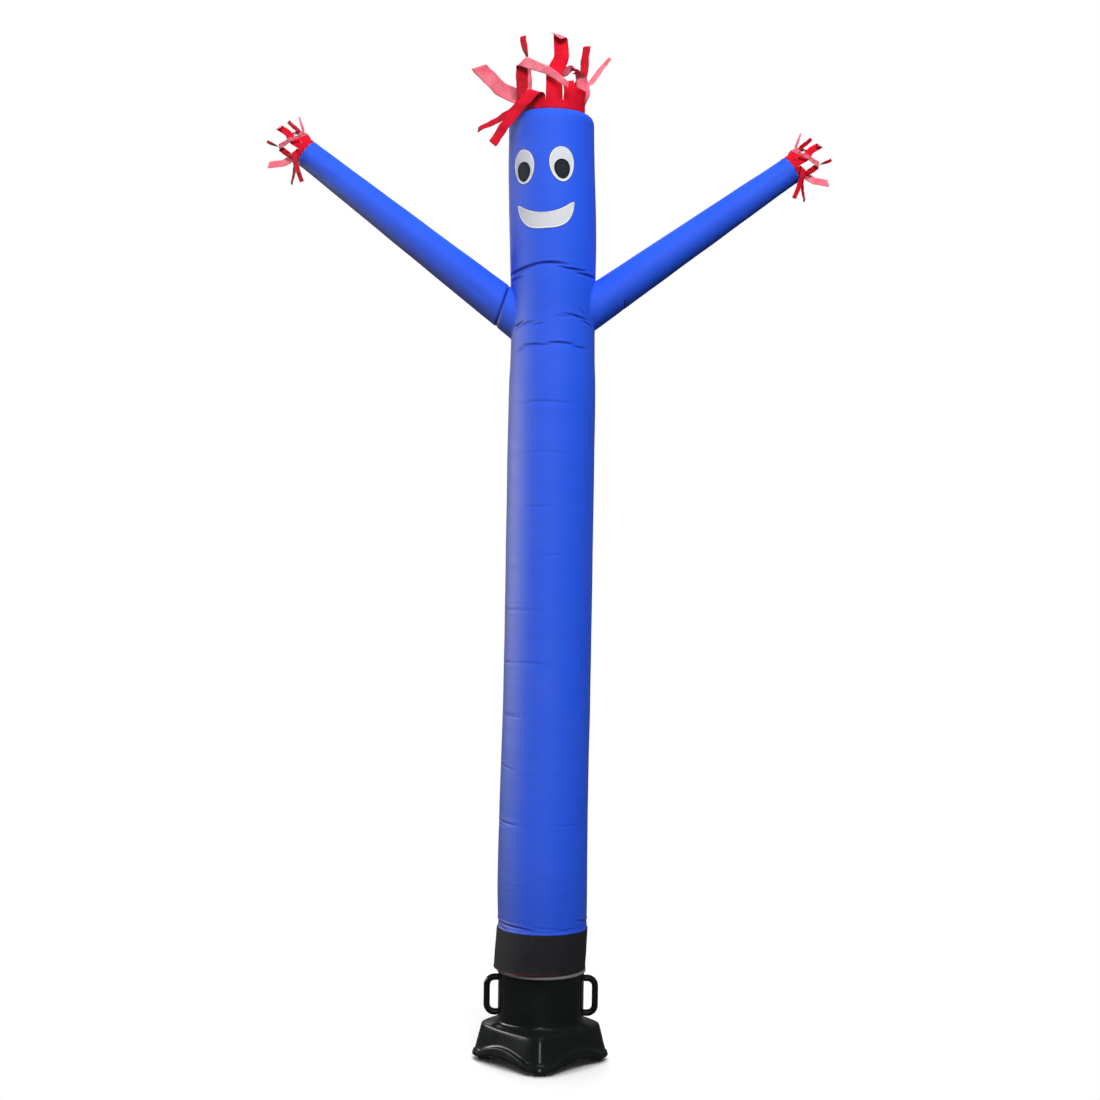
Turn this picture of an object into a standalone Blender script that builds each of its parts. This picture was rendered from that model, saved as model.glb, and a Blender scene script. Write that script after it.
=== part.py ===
"""Inflatable air dancer: a cloth tube with two arms, a patched face and strip fringes,
standing by its black cuff on the collar of a moulded blower base.

Metres, +Z up. The floor is z = 0, the blower's axis is Z, the face looks along -Y and
+X is the side of the dancer's left arm. Azimuths turn from the front (-Y) towards +X.
"""
import math
from collections import namedtuple

import bmesh
import bpy
from mathutils import Matrix, Vector

# Cloth and clearances
CLOTH = 0.002                 # built thickness of the tube, arms and cuff
PATCH = 0.001                 # built thickness of a face patch
STRIP_CLOTH = 0.0016          # built thickness of the hair fringe
GAP = 0.0003                  # between pieces that touch
PATCH_GAP = 0.0008            # between the tube and a patch

# Tube: each row is a ring of the tube, low to high
Section = namedtuple("Section", "height shift radius lift")
TUBE_SECTIONS = (
    Section(0.4597, 0.002, 0.1540, 0.000),
    Section(0.620, 0.000, 0.1555, 0.000),
    Section(0.900, 0.001, 0.1530, 0.000),
    Section(1.250, 0.006, 0.1512, 0.000),
    Section(1.750, 0.008, 0.1508, 0.000),
    Section(2.150, 0.009, 0.1508, 0.000),
    Section(2.340, 0.010, 0.1495, 0.020),
    Section(2.415, 0.010, 0.1465, 0.054),
    Section(2.520, 0.010, 0.1450, 0.045),
    Section(2.620, 0.009, 0.1465, 0.040),
    Section(2.701, 0.008, 0.1475, 0.037),
    Section(2.820, 0.006, 0.1498, 0.012),
    Section(2.930, 0.003, 0.1508, 0.000),
    Section(3.080, -0.002, 0.1495, 0.000),
    Section(3.225, -0.0045, 0.1478, 0.000),
)
TUBE_SIDES = 32
ROW_STEP = 0.30               # largest height between two rings
SHOULDER_STEPS = 4            # rings in the rounded top of the head
VENT_RADIUS = 0.114
VENT_HEIGHT = 3.268

# Creases pressed into the tube: heights are measured before the ring's lift
Crease = namedtuple("Crease", "height azimuth span depth width")
CREASES = (
    Crease(2.701, 0, 112, 0.010, 0.012),
    Crease(2.525, 35, 48, 0.006, 0.010),
    Crease(2.505, -46, 32, 0.007, 0.010),
    Crease(2.415, -5, 88, 0.009, 0.012),
    Crease(2.267, -8, 56, 0.004, 0.010),
)

# Arms: the root is where the arm's axis crosses the tube's side
Arm = namedtuple("Arm", "side root_x root_z rise length")
ARMS = (
    Arm("left", -0.1661, 2.6080, 37.1, 0.8627),
    Arm("right", 0.1408, 2.6039, 35.5, 0.8458),
)
ARM_ROOT_RADIUS = 0.0700
ARM_TIP_RADIUS = 0.0474
ARM_SIDES = 24
ARM_START = -0.09             # along the axis, inside the tube
BORE_START = -0.12
BORE_OVERRUN = 0.02
# The left arm's seam is a straight cut through a short outlet of the tube
SEAM_TOP = (-0.1445, 2.6776)
SEAM_FOOT = (-0.1876, 2.5383)

# Cuff
CUFF_TOP = 0.4594
CUFF_BOTTOM = 0.322
CUFF_BULGE = 0.0008
CUFF_RADIUS_TOP = 0.1568
CUFF_RADIUS_BOTTOM = 0.1588
CUFF_STEPS = 40
CUFF_ROWS = 4

# Face, in arc lengths round the head from the face's own centre line
FACE_AZIMUTH = -12.1
FACE_TILT = 2.6
EYE_HEIGHT = 3.0695
EYE_SPREAD = 0.0695
EYE_HALF = (0.0430, 0.0592)
EYE_NARROWING = 0.10          # how much narrower an eye is at its foot
PUPIL_HALF = (0.0270, 0.0335)
PUPIL_DROP = 0.0160
EYE_SIDES = 28
MOUTH_HEIGHT = 2.9390
MOUTH_HALF = 0.1060
MOUTH_UPPER_SAG = 0.0420
MOUTH_LOWER_SAG = 0.0920
MOUTH_TIP = 0.006             # half height of its rounded tips
MOUTH_COLUMNS = 16

# Fringes: a ring with strips cut from one band, at the size of the hair
RING_RADIUS = 0.1148
RING_HEIGHT = 0.032
HAND_SCALE = 0.415
HAND_STRIP_CLOTH = 0.0010
Strip = namedtuple("Strip", "name azimuth length root_width tip_width tip_slant")
STRIPS = (
    Strip("folded_over", -65, 0.365, 0.052, 0.018, -30),
    Strip("narrow_front", -42.5, 0.245, 0.030, 0.014, 12),
    Strip("draped_front", -22, 0.278, 0.044, 0.034, 10),
    Strip("tall_centre", 4, 0.288, 0.058, 0.042, 0),
    Strip("short_centre", 34, 0.075, 0.056, 0.050, 12),
    Strip("short_right", 62, 0.048, 0.054, 0.048, -14),
    Strip("curled_right", 90, 0.222, 0.052, 0.026, 0),
    Strip("blown_right", 118, 0.240, 0.034, 0.022, 0),
    Strip("upright_right", 148, 0.260, 0.044, 0.030, 8),
    Strip("draped_back", 184, 0.240, 0.048, 0.036, 0),
    Strip("waving_left", 223, 0.296, 0.036, 0.018, 0),
    Strip("blown_left", 262, 0.206, 0.050, 0.046, 0),
)
# A bend turns the strip outwards about a line that slants up to the strip's right, a sway
# turns its heading to the right in its own plane, and a turn twists it about its length.
Fold = namedtuple("Fold", "strip kind start over degrees slant")
FOLDS = (
    Fold("folded_over", "turn", 0.000, 0.090, 44, 0),
    Fold("folded_over", "bend", 0.125, 0.030, 172, 33),
    Fold("folded_over", "sway", 0.240, 0.060, -14, 0),
    Fold("narrow_front", "bend", 0.012, 0.036, 168, -22),
    Fold("narrow_front", "sway", 0.060, 0.050, -25, 0),
    Fold("draped_front", "bend", 0.008, 0.045, 165, -19),
    Fold("draped_front", "sway", 0.120, 0.080, 8, 0),
    Fold("tall_centre", "bend", 0.000, 0.050, -22, 0),
    Fold("tall_centre", "sway", 0.090, 0.030, 25, 0),
    Fold("tall_centre", "sway", 0.155, 0.030, -45, 0),
    Fold("tall_centre", "bend", 0.245, 0.025, 165, -22),
    Fold("short_centre", "bend", 0.000, 0.050, -20, 0),
    Fold("short_right", "turn", 0.000, 0.060, -20, 0),
    Fold("short_right", "sway", 0.020, 0.060, -14, 0),
    Fold("curled_right", "turn", 0.000, 0.050, 72, 0),
    Fold("curled_right", "sway", 0.010, 0.040, 12, 0),
    Fold("curled_right", "bend", 0.106, 0.040, -165, 42),
    Fold("blown_right", "bend", 0.030, 0.050, 38, 0),
    Fold("blown_right", "turn", 0.080, 0.080, 35, 0),
    Fold("upright_right", "bend", 0.000, 0.060, 14, 0),
    Fold("upright_right", "sway", 0.010, 0.040, -19, 0),
    Fold("upright_right", "sway", 0.130, 0.050, 18, 0),
    Fold("draped_back", "bend", 0.010, 0.060, 150, 6),
    Fold("waving_left", "bend", 0.000, 0.050, 13, 0),
    Fold("waving_left", "sway", 0.020, 0.040, -2, 0),
    Fold("waving_left", "sway", 0.200, 0.040, 30, 0),
    Fold("waving_left", "sway", 0.250, 0.040, -44, 0),
    Fold("blown_left", "turn", 0.000, 0.036, -62, 0),
    Fold("blown_left", "sway", 0.000, 0.050, 62, 0),
)
DEGREES_PER_ROW = 32          # one row of faces for each part of a fold

# Blower base
HOUSING_RADIUS = 0.1485
HOUSING_WALL = 0.004
HOUSING_SIDES = 48
COLLAR_RADIUS = 0.1500
COLLAR_TOP = 0.395
RIM_RADIUS = 0.1540
RIM_HEIGHT = 0.3135
WAIST_HEIGHT = 0.148
SHOULDER_HEIGHT = 0.1265
SHOULDER_TIP = 0.2035         # reach of the shoulder's edge towards a foot
SKIRT_TIP = 0.2310            # reach of the skirt's foot towards a foot
SKIRT_LIP = 0.0050            # how far the lip along the arches stands proud
PLAN_POWER = 1.3              # 1 is a square on its corner, 2 is a circle
FOOT_HEIGHT = 0.018
ARCH_HEIGHT = 0.040
LIP_FOOT_HEIGHT = 0.036
LIP_ARCH_HEIGHT = 0.080
FOOT_HALF_ANGLE = 13.0

HANDLE_BAR = 0.0230
HANDLE_REACH = 0.1875
HANDLE_TOP = 0.2830
HANDLE_BOTTOM = 0.1625
HANDLE_CORNER = 0.026

PAD_TOP = (0.046, 0.048)
PAD_FOOT = (0.032, 0.036)
PAD_REACH = 0.1960            # pad's centre from the blower's axis
PAD_ROUND = 0.003

GLAND_HEIGHT = 0.200
GLAND_PROFILE = ((0.016, 0.000), (0.016, 0.004), (0.011, 0.005), (0.011, 0.016), (0.007, 0.022))


# Helpers

def clear_scene():
    for item in list(bpy.data.objects):
        bpy.data.objects.remove(item, do_unlink=True)


def make_collection(name):
    collection = bpy.data.collections.new(name)
    bpy.context.scene.collection.children.link(collection)
    return collection


def make_material(name, colour, roughness, metallic=0.0):
    material = bpy.data.materials.new(name)
    material.use_nodes = True
    shader = material.node_tree.nodes["Principled BSDF"]
    shader.inputs["Base Color"].default_value = (*colour, 1.0)
    shader.inputs["Roughness"].default_value = roughness
    shader.inputs["Metallic"].default_value = metallic
    return material


def add_object(name, bm, material, collection):
    bmesh.ops.recalc_face_normals(bm, faces=bm.faces)
    mesh = bpy.data.meshes.new(name)
    bm.to_mesh(mesh)
    bm.free()
    item = bpy.data.objects.new(name, mesh)
    if material:
        mesh.materials.append(material)
        mesh.shade_smooth()
        mesh.set_sharp_from_angle(angle=math.radians(40))
    else:
        item.hide_render = True
        item.display_type = "WIRE"
    collection.objects.link(item)
    return item


def loft(rings, hollow=False):
    """A closed skin through rings that have the same number of points."""
    bm = bmesh.new()
    rows = [[bm.verts.new(point) for point in ring] for ring in rings]
    count = len(rows[0])
    for low, high in zip(rows, rows[1:] + rows[:1] if hollow else rows[1:]):
        for k in range(count):
            bm.faces.new((low[k], low[(k + 1) % count], high[(k + 1) % count], high[k]))
    if not hollow:
        bm.faces.new(list(reversed(rows[0])))
        bm.faces.new(rows[-1])
    return bm


def cut(item, tool, operation="DIFFERENCE"):
    modifier = item.modifiers.new(tool.name, "BOOLEAN")
    modifier.operation = operation
    modifier.solver = "EXACT"
    modifier.object = tool


def smooth_step(value):
    value = min(max(value, 0.0), 1.0)
    return value * value * (3.0 - 2.0 * value)


def turned(name, profile, steps, material, collection):
    """A profile of (radius, height) points, given down its outer side, turned about Z."""
    bm = bmesh.new()
    points = [bm.verts.new((radius, 0.0, height)) for radius, height in profile]
    for first, second in zip(points, points[1:] + points[:1]):
        bm.edges.new((first, second))
    mesh = bpy.data.meshes.new(name)
    bm.to_mesh(mesh)
    bm.free()
    item = bpy.data.objects.new(name, mesh)
    mesh.materials.append(material)
    screw = item.modifiers.new("turn", "SCREW")
    screw.steps = steps
    screw.render_steps = steps
    screw.use_merge_vertices = True
    screw.merge_threshold = 0.00001
    collection.objects.link(item)
    return item


# Tube

def section_at(height):
    """The tube's shift, radius and lift at a height, eased between the sections."""
    low = TUBE_SECTIONS[0]
    for high in TUBE_SECTIONS[1:]:
        if height <= high.height:
            break
        low = high
    part = smooth_step((height - low.height) / max(high.height - low.height, GAP))
    return [a + (b - a) * part for a, b in zip(low[1:], high[1:])]


def tube_point(azimuth, height, outset=0.0):
    """A point on the tube at an azimuth in degrees; outset moves it away from the axis."""
    shift, radius, lift = section_at(height)
    for crease in CREASES:
        along = (azimuth - crease.azimuth + 180.0) % 360.0 - 180.0
        across = abs(height - crease.height) / crease.width
        if abs(along) < crease.span and across < 1.0:
            fade = math.cos(math.pi / 2 * along / crease.span) ** 0.7
            radius -= crease.depth * fade * (1.0 - smooth_step(across))
    turn = math.radians(azimuth)
    radius += outset
    rise = height + lift * max(0.0, math.cos(turn))
    return Vector((shift + radius * math.sin(turn), -radius * math.cos(turn), rise))


def tube_heights():
    stops = {section.height for section in TUBE_SECTIONS}
    for crease in CREASES:
        stops.update((crease.height - crease.width, crease.height, crease.height + crease.width))
    ordered = sorted(stops)
    heights = [ordered[0]]
    for stop in ordered[1:]:
        parts = math.ceil((stop - heights[-1]) / ROW_STEP)
        start = heights[-1]
        heights += [start + (stop - start) * k / parts for k in range(1, parts + 1)]
    return heights


def tube_skin(outset=0.0, overrun=0.0):
    """The tube as a solid; a negative outset gives the space inside its cloth."""
    azimuths = [360.0 * k / TUBE_SIDES for k in range(TUBE_SIDES)]
    rings = [[tube_point(a, h, outset) for a in azimuths] for h in tube_heights()]
    if overrun:
        rings.insert(0, [point - Vector((0, 0, overrun)) for point in rings[0]])
    top = TUBE_SECTIONS[-1]
    for k in range(1, SHOULDER_STEPS + 1):
        turn = math.pi / 2 * k / SHOULDER_STEPS
        radius = VENT_RADIUS + outset + (top.radius - VENT_RADIUS) * math.cos(turn)
        height = top.height + (VENT_HEIGHT - top.height + outset) * math.sin(turn)
        rings.append([head_point(a, radius, height) for a in azimuths])
    if overrun:
        rings.append([point + Vector((0, 0, overrun)) for point in rings[-1]])
    return loft(rings)


def head_point(azimuth, radius, height):
    turn = math.radians(azimuth)
    return Vector((TUBE_SECTIONS[-1].shift + radius * math.sin(turn), -radius * math.cos(turn), height))


def arm_frame(arm):
    """Origin at the arm's root, +Z along the arm and +Y level."""
    outward = -1.0 if arm.side == "left" else 1.0
    rise = math.radians(arm.rise)
    along = Vector((outward * math.cos(rise), 0.0, math.sin(rise)))
    level = Vector((0.0, 1.0, 0.0))
    across = level.cross(along)
    frame = Matrix((across, level, along)).transposed().to_4x4()
    frame.translation = (arm.root_x, 0.0, arm.root_z)
    return frame


def arm_cone(arm, start, end, inset):
    """A straight tapered sleeve from start to end along the arm's axis."""
    slope = (ARM_TIP_RADIUS - ARM_ROOT_RADIUS) / arm.length
    bm = bmesh.new()
    bmesh.ops.create_cone(
        bm, cap_ends=True, segments=ARM_SIDES, depth=end - start,
        radius1=ARM_ROOT_RADIUS + slope * start - inset,
        radius2=ARM_ROOT_RADIUS + slope * end - inset)
    middle = Matrix.Translation((0.0, 0.0, (start + end) / 2))
    bmesh.ops.transform(bm, matrix=arm_frame(arm) @ middle, verts=bm.verts)
    return bm


def cut_at_seam(bm, keep_hand_side, offset=0.0):
    top = Vector((SEAM_TOP[0], 0.0, SEAM_TOP[1]))
    foot = Vector((SEAM_FOOT[0], 0.0, SEAM_FOOT[1]))
    outward = Vector((0.0, 1.0, 0.0)).cross(top - foot).normalized()
    if outward.x > 0:
        outward.negate()
    bmesh.ops.bisect_plane(
        bm, geom=bm.verts[:] + bm.edges[:] + bm.faces[:], plane_co=top + outward * offset,
        plane_no=outward, clear_inner=keep_hand_side, clear_outer=not keep_hand_side)
    bmesh.ops.holes_fill(bm, edges=bm.edges, sides=0)


def build_tube_and_arms(cloth, parts, guides):
    tube = add_object("body_tube", tube_skin(), cloth, parts)
    space = add_object("tube_space", tube_skin(-CLOTH, BORE_OVERRUN), None, guides)
    around = add_object("around_tube", tube_skin(GAP, GAP), None, guides)
    outlet = arm_cone(ARMS[0], ARM_START, -ARM_START, 0.0)
    cut_at_seam(outlet, keep_hand_side=False)
    cut(tube, add_object("left_outlet", outlet, None, guides), "UNION")
    cut(tube, space)
    for arm in ARMS:
        bore = arm_cone(arm, BORE_START, arm.length + BORE_OVERRUN, CLOTH)
        bore_tool = add_object("bore_" + arm.side, bore, None, guides)
        cut(tube, bore_tool)
        sleeve = arm_cone(arm, ARM_START, arm.length, 0.0)
        if arm.side == "left":
            cut_at_seam(sleeve, keep_hand_side=True, offset=GAP)
        item = add_object("arm_" + arm.side, sleeve, cloth, parts)
        cut(item, bore_tool)
        cut(item, around)


def build_cuff(cloth, parts):
    outer = []
    for k in range(CUFF_ROWS + 1):
        part = k / CUFF_ROWS
        radius = CUFF_RADIUS_TOP + (CUFF_RADIUS_BOTTOM - CUFF_RADIUS_TOP) * part
        radius += CUFF_BULGE * math.sin(math.pi * part)
        outer.append((radius, CUFF_TOP + (CUFF_BOTTOM - CUFF_TOP) * part))
    inner = [(radius - CLOTH, height) for radius, height in reversed(outer)]
    turned("cuff", outer + inner, CUFF_STEPS, cloth, parts)


# Face

def face_point(along, height, outset):
    """A point over the head, from an arc length and a height on the face."""
    tilt = math.radians(FACE_TILT)
    centre = (EYE_HEIGHT + MOUTH_HEIGHT) / 2
    up = height - centre
    turned_along = along * math.cos(tilt) - up * math.sin(tilt)
    turned_height = centre + along * math.sin(tilt) + up * math.cos(tilt)
    radius = section_at(turned_height)[1]
    return tube_point(FACE_AZIMUTH + math.degrees(turned_along / radius), turned_height, outset)


def thicken(item, thickness, offset=1.0):
    modifier = item.modifiers.new("thickness", "SOLIDIFY")
    modifier.thickness = thickness
    modifier.offset = offset


def oval_patch(name, along, height, half, outset, material, parts):
    """An egg-shaped patch as rings of points round its centre."""
    bm = bmesh.new()
    hub = bm.verts.new(face_point(along, height, outset))
    rows = []
    for size in (0.5, 1.0):
        row = []
        for k in range(EYE_SIDES):
            turn = 2 * math.pi * k / EYE_SIDES
            narrow = 1.0 + EYE_NARROWING * math.sin(turn)
            right = half[0] * size * math.cos(turn) * narrow
            up = half[1] * size * math.sin(turn)
            row.append(bm.verts.new(face_point(along + right, height + up, outset)))
        rows.append(row)
    for k in range(EYE_SIDES):
        after = (k + 1) % EYE_SIDES
        bm.faces.new((hub, rows[0][k], rows[0][after]))
        bm.faces.new((rows[0][k], rows[1][k], rows[1][after], rows[0][after]))
    thicken(add_object(name, bm, material, parts), PATCH)


def mouth_patch(material, parts):
    bm = bmesh.new()
    columns = []
    for k in range(MOUTH_COLUMNS + 1):
        place = -math.cos(math.pi * k / MOUTH_COLUMNS)
        upper = -MOUTH_UPPER_SAG * (1.0 - place ** 2)
        lower = -MOUTH_LOWER_SAG * (1.0 - abs(place) ** 3) ** 0.7
        upper += MOUTH_TIP * math.sqrt(1.0 - place ** 6)
        ends = [upper + (lower - upper) * part for part in (0.0, 0.5, 1.0)]
        if k in (0, MOUTH_COLUMNS):
            ends = ends[:1]
        columns.append([bm.verts.new(face_point(MOUTH_HALF * place, MOUTH_HEIGHT + end, PATCH_GAP))
                        for end in ends])
    for left, right in zip(columns, columns[1:]):
        if len(left) == 1:
            bm.faces.new((left[0], right[1], right[0]))
            bm.faces.new((left[0], right[2], right[1]))
        elif len(right) == 1:
            bm.faces.new((left[0], left[1], right[0]))
            bm.faces.new((left[1], left[2], right[0]))
        else:
            bm.faces.new((left[0], left[1], right[1], right[0]))
            bm.faces.new((left[1], left[2], right[2], right[1]))
    thicken(add_object("mouth", bm, material, parts), PATCH)


def build_face(white, dark, parts):
    pupil_outset = PATCH_GAP + PATCH + GAP
    for side, sign in (("left", -1), ("right", 1)):
        along = sign * EYE_SPREAD
        oval_patch("eye_white_" + side, along, EYE_HEIGHT, EYE_HALF, PATCH_GAP, white, parts)
        oval_patch("pupil_" + side, along, EYE_HEIGHT - PUPIL_DROP, PUPIL_HALF, pupil_outset,
                   dark, parts)
    mouth_patch(white, parts)


# Fringes

def folded(points, folds):
    """Move flat points (right, up) of a strip through its folds, from its tip to its root."""
    placed = [Vector((right, up, 0.0)) for right, up in points]
    for fold in reversed(folds):
        full = math.radians(fold.degrees)
        slant = math.radians(fold.slant) if fold.kind == "bend" else 0.0
        if fold.kind == "sway":
            line, ahead, out = Vector((0, 0, 1)), Vector((0, 1, 0)), Vector((1, 0, 0))
        else:
            line = Vector((math.cos(slant), math.sin(slant), 0))
            ahead = Vector((-math.sin(slant), math.cos(slant), 0))
            out = Vector((0, 0, 1))
        start = Vector((0.0, fold.start, 0.0))
        for index, (right, up) in enumerate(points):
            reach = (Vector((right, up, 0.0)) - start).dot(ahead)
            if reach <= 0.0:
                continue
            angle = full * min(reach / fold.over, 1.0)
            offset = placed[index] - start
            if fold.kind == "turn":
                placed[index] = start + Matrix.Rotation(angle, 3, "Y") @ offset
                continue
            rest = offset.dot(ahead) - fold.over if reach >= fold.over else 0.0
            bend_radius = fold.over / full
            height = offset.dot(out)
            placed[index] = (
                start + line * offset.dot(line)
                + ahead * (bend_radius * math.sin(angle) + rest * math.cos(angle)
                           - height * math.sin(angle))
                + out * (bend_radius * (1.0 - math.cos(angle)) + rest * math.sin(angle)
                         + height * math.cos(angle)))
    return placed


def strip_stations(strip, folds):
    """Places along a strip, each with the slant of the row of points that crosses it."""
    stations = [(0.0, 0.0)]
    for fold in folds:
        parts = max(2, math.ceil(abs(fold.degrees) / DEGREES_PER_ROW))
        slant = fold.slant if fold.kind == "bend" else 0.0
        for k in range(parts + 1):
            ahead = fold.over * k / parts / math.cos(math.radians(slant))
            stations.append((fold.start + ahead, slant))
    kept = [stations[0]]
    for station in stations[1:]:
        if kept[-1][0] + STRIP_CLOTH < station[0] < strip.length - STRIP_CLOTH:
            kept.append(station)
    kept.append((strip.length, strip.tip_slant))
    return kept


def strip_rows(strip):
    """Pairs of edge points along a folded strip, on the ring at its azimuth."""
    folds = [fold for fold in FOLDS if fold.strip == strip.name]
    flat = []
    for place, slant in strip_stations(strip, folds):
        half = (strip.root_width + (strip.tip_width - strip.root_width) * place / strip.length) / 2
        for right in (-half, half):
            flat.append((right, max(0.0, place + right * math.tan(math.radians(slant)))))
    turn = math.radians(strip.azimuth)
    across = Vector((math.cos(turn), math.sin(turn), 0.0))
    outward = Vector((math.sin(turn), -math.cos(turn), 0.0))
    root = outward * RING_RADIUS + Vector((0.0, 0.0, RING_HEIGHT))
    points = [root + across * p.x + Vector((0.0, 0.0, p.y)) + outward * p.z
              for p in folded(flat, folds)]
    return [points[k:k + 2] for k in range(0, len(points), 2)]


def fringe_skin():
    """The ring with every strip standing on it, as one sheet."""
    bm = bmesh.new()
    tops = []
    for strip in STRIPS:
        rows = [[bm.verts.new(point) for point in row] for row in strip_rows(strip)]
        for low, high in zip(rows, rows[1:]):
            bm.faces.new((low[0], low[1], high[1], high[0]))
        tops += rows[0]
    feet = [bm.verts.new((top.co.x, top.co.y, 0.0)) for top in tops]
    for k, foot in enumerate(feet):
        after = (k + 1) % len(feet)
        bm.faces.new((foot, feet[after], tops[after], tops[k]))
    return bm


def build_fringe(name, frame, thickness, material, parts):
    bm = fringe_skin()
    bmesh.ops.transform(bm, matrix=frame, verts=bm.verts)
    thicken(add_object(name, bm, material, parts), thickness, offset=0.0)


def build_fringes(material, parts):
    head = Matrix.Translation((TUBE_SECTIONS[-1].shift, 0.0, VENT_HEIGHT + GAP))
    build_fringe("hair_fringe", head, STRIP_CLOTH, material, parts)
    for arm in ARMS:
        outward = -1.0 if arm.side == "left" else 1.0
        size = Matrix.Diagonal((-outward * HAND_SCALE, HAND_SCALE, HAND_SCALE, 1.0))
        upright = Matrix.Rotation(outward * math.radians(90.0 - arm.rise), 4, "Y")
        end = arm_frame(arm) @ Vector((0.0, 0.0, arm.length + GAP))
        frame = Matrix.Translation(end) @ upright @ size
        build_fringe("hand_fringe_" + arm.side, frame, HAND_STRIP_CLOTH, material, parts)


# Blower base

def plan_reach(azimuth, tip):
    turn = math.radians(azimuth)
    spread = abs(math.sin(turn)) ** PLAN_POWER + abs(math.cos(turn)) ** PLAN_POWER
    return tip / spread ** (1.0 / PLAN_POWER)


def arch_part(azimuth):
    """0 over a foot and 1 midway between two feet."""
    from_foot = abs((azimuth + 45.0) % 90.0 - 45.0)
    part = max(0.0, from_foot - FOOT_HALF_ANGLE) / (45.0 - FOOT_HALF_ANGLE)
    return math.sin(math.pi / 2 * part) ** 0.8


def skirt_reach(azimuth, height):
    part = (SHOULDER_HEIGHT - height) / (SHOULDER_HEIGHT - FOOT_HEIGHT)
    return plan_reach(azimuth, SHOULDER_TIP + (SKIRT_TIP - SHOULDER_TIP) * part)


def housing_profile(azimuth):
    """(reach, height) down the outside of the housing and up its inside at one azimuth."""
    edge = plan_reach(azimuth, SHOULDER_TIP)
    lip = LIP_FOOT_HEIGHT + (LIP_ARCH_HEIGHT - LIP_FOOT_HEIGHT) * arch_part(azimuth)
    foot = FOOT_HEIGHT + (ARCH_HEIGHT - FOOT_HEIGHT) * arch_part(azimuth)
    return (
        (COLLAR_RADIUS, COLLAR_TOP),
        (COLLAR_RADIUS, RIM_HEIGHT + 0.009),
        (RIM_RADIUS - 0.001, RIM_HEIGHT + 0.005),
        (RIM_RADIUS, RIM_HEIGHT),
        (RIM_RADIUS - 0.001, RIM_HEIGHT - 0.005),
        (HOUSING_RADIUS + 0.001, RIM_HEIGHT - 0.010),
        (HOUSING_RADIUS, RIM_HEIGHT - 0.016),
        (HOUSING_RADIUS, WAIST_HEIGHT),
        (HOUSING_RADIUS + 0.003, WAIST_HEIGHT - 0.008),
        (HOUSING_RADIUS + 0.010, WAIST_HEIGHT - 0.012),
        (edge - 0.006, SHOULDER_HEIGHT + 0.002),
        (edge - 0.001, SHOULDER_HEIGHT - 0.003),
        (skirt_reach(azimuth, SHOULDER_HEIGHT - 0.012), SHOULDER_HEIGHT - 0.012),
        (skirt_reach(azimuth, lip), lip),
        (skirt_reach(azimuth, lip - 0.003) + SKIRT_LIP, lip - 0.003),
        (skirt_reach(azimuth, foot) + SKIRT_LIP, foot),
        (skirt_reach(azimuth, foot) + SKIRT_LIP - HOUSING_WALL, foot),
        (skirt_reach(azimuth, lip) - HOUSING_WALL, lip - 0.004),
        (edge - HOUSING_WALL, SHOULDER_HEIGHT - 0.008),
        (edge - 0.008, SHOULDER_HEIGHT + 0.002 - HOUSING_WALL),
        (HOUSING_RADIUS + 0.004, WAIST_HEIGHT - 0.012 - HOUSING_WALL),
        (HOUSING_RADIUS - HOUSING_WALL, WAIST_HEIGHT - 0.004),
        (HOUSING_RADIUS - HOUSING_WALL, RIM_HEIGHT - 0.012),
        (COLLAR_RADIUS - HOUSING_WALL, RIM_HEIGHT),
        (COLLAR_RADIUS - HOUSING_WALL, COLLAR_TOP),
    )


def housing_azimuths():
    """Azimuths that crowd towards the feet, where the plan turns its corners."""
    azimuths = []
    per_quarter = HOUSING_SIDES // 4
    for foot in range(4):
        for k in range(per_quarter):
            part = 2.0 * k / per_quarter - 1.0
            crowd = math.copysign(1.0 - (1.0 - abs(part)) ** 1.35, part)
            azimuths.append(90.0 * foot + 45.0 + 45.0 * crowd)
    return azimuths


def build_housing(plastic, parts):
    profiles = [housing_profile(azimuth) for azimuth in housing_azimuths()]
    rings = []
    for level in range(len(profiles[0])):
        ring = []
        for azimuth, profile in zip(housing_azimuths(), profiles):
            reach, height = profile[level]
            turn = math.radians(azimuth)
            ring.append(Vector((reach * math.sin(turn), -reach * math.cos(turn), height)))
        rings.append(ring)
    add_object("blower_housing", loft(rings, hollow=True), plastic, parts)


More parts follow.
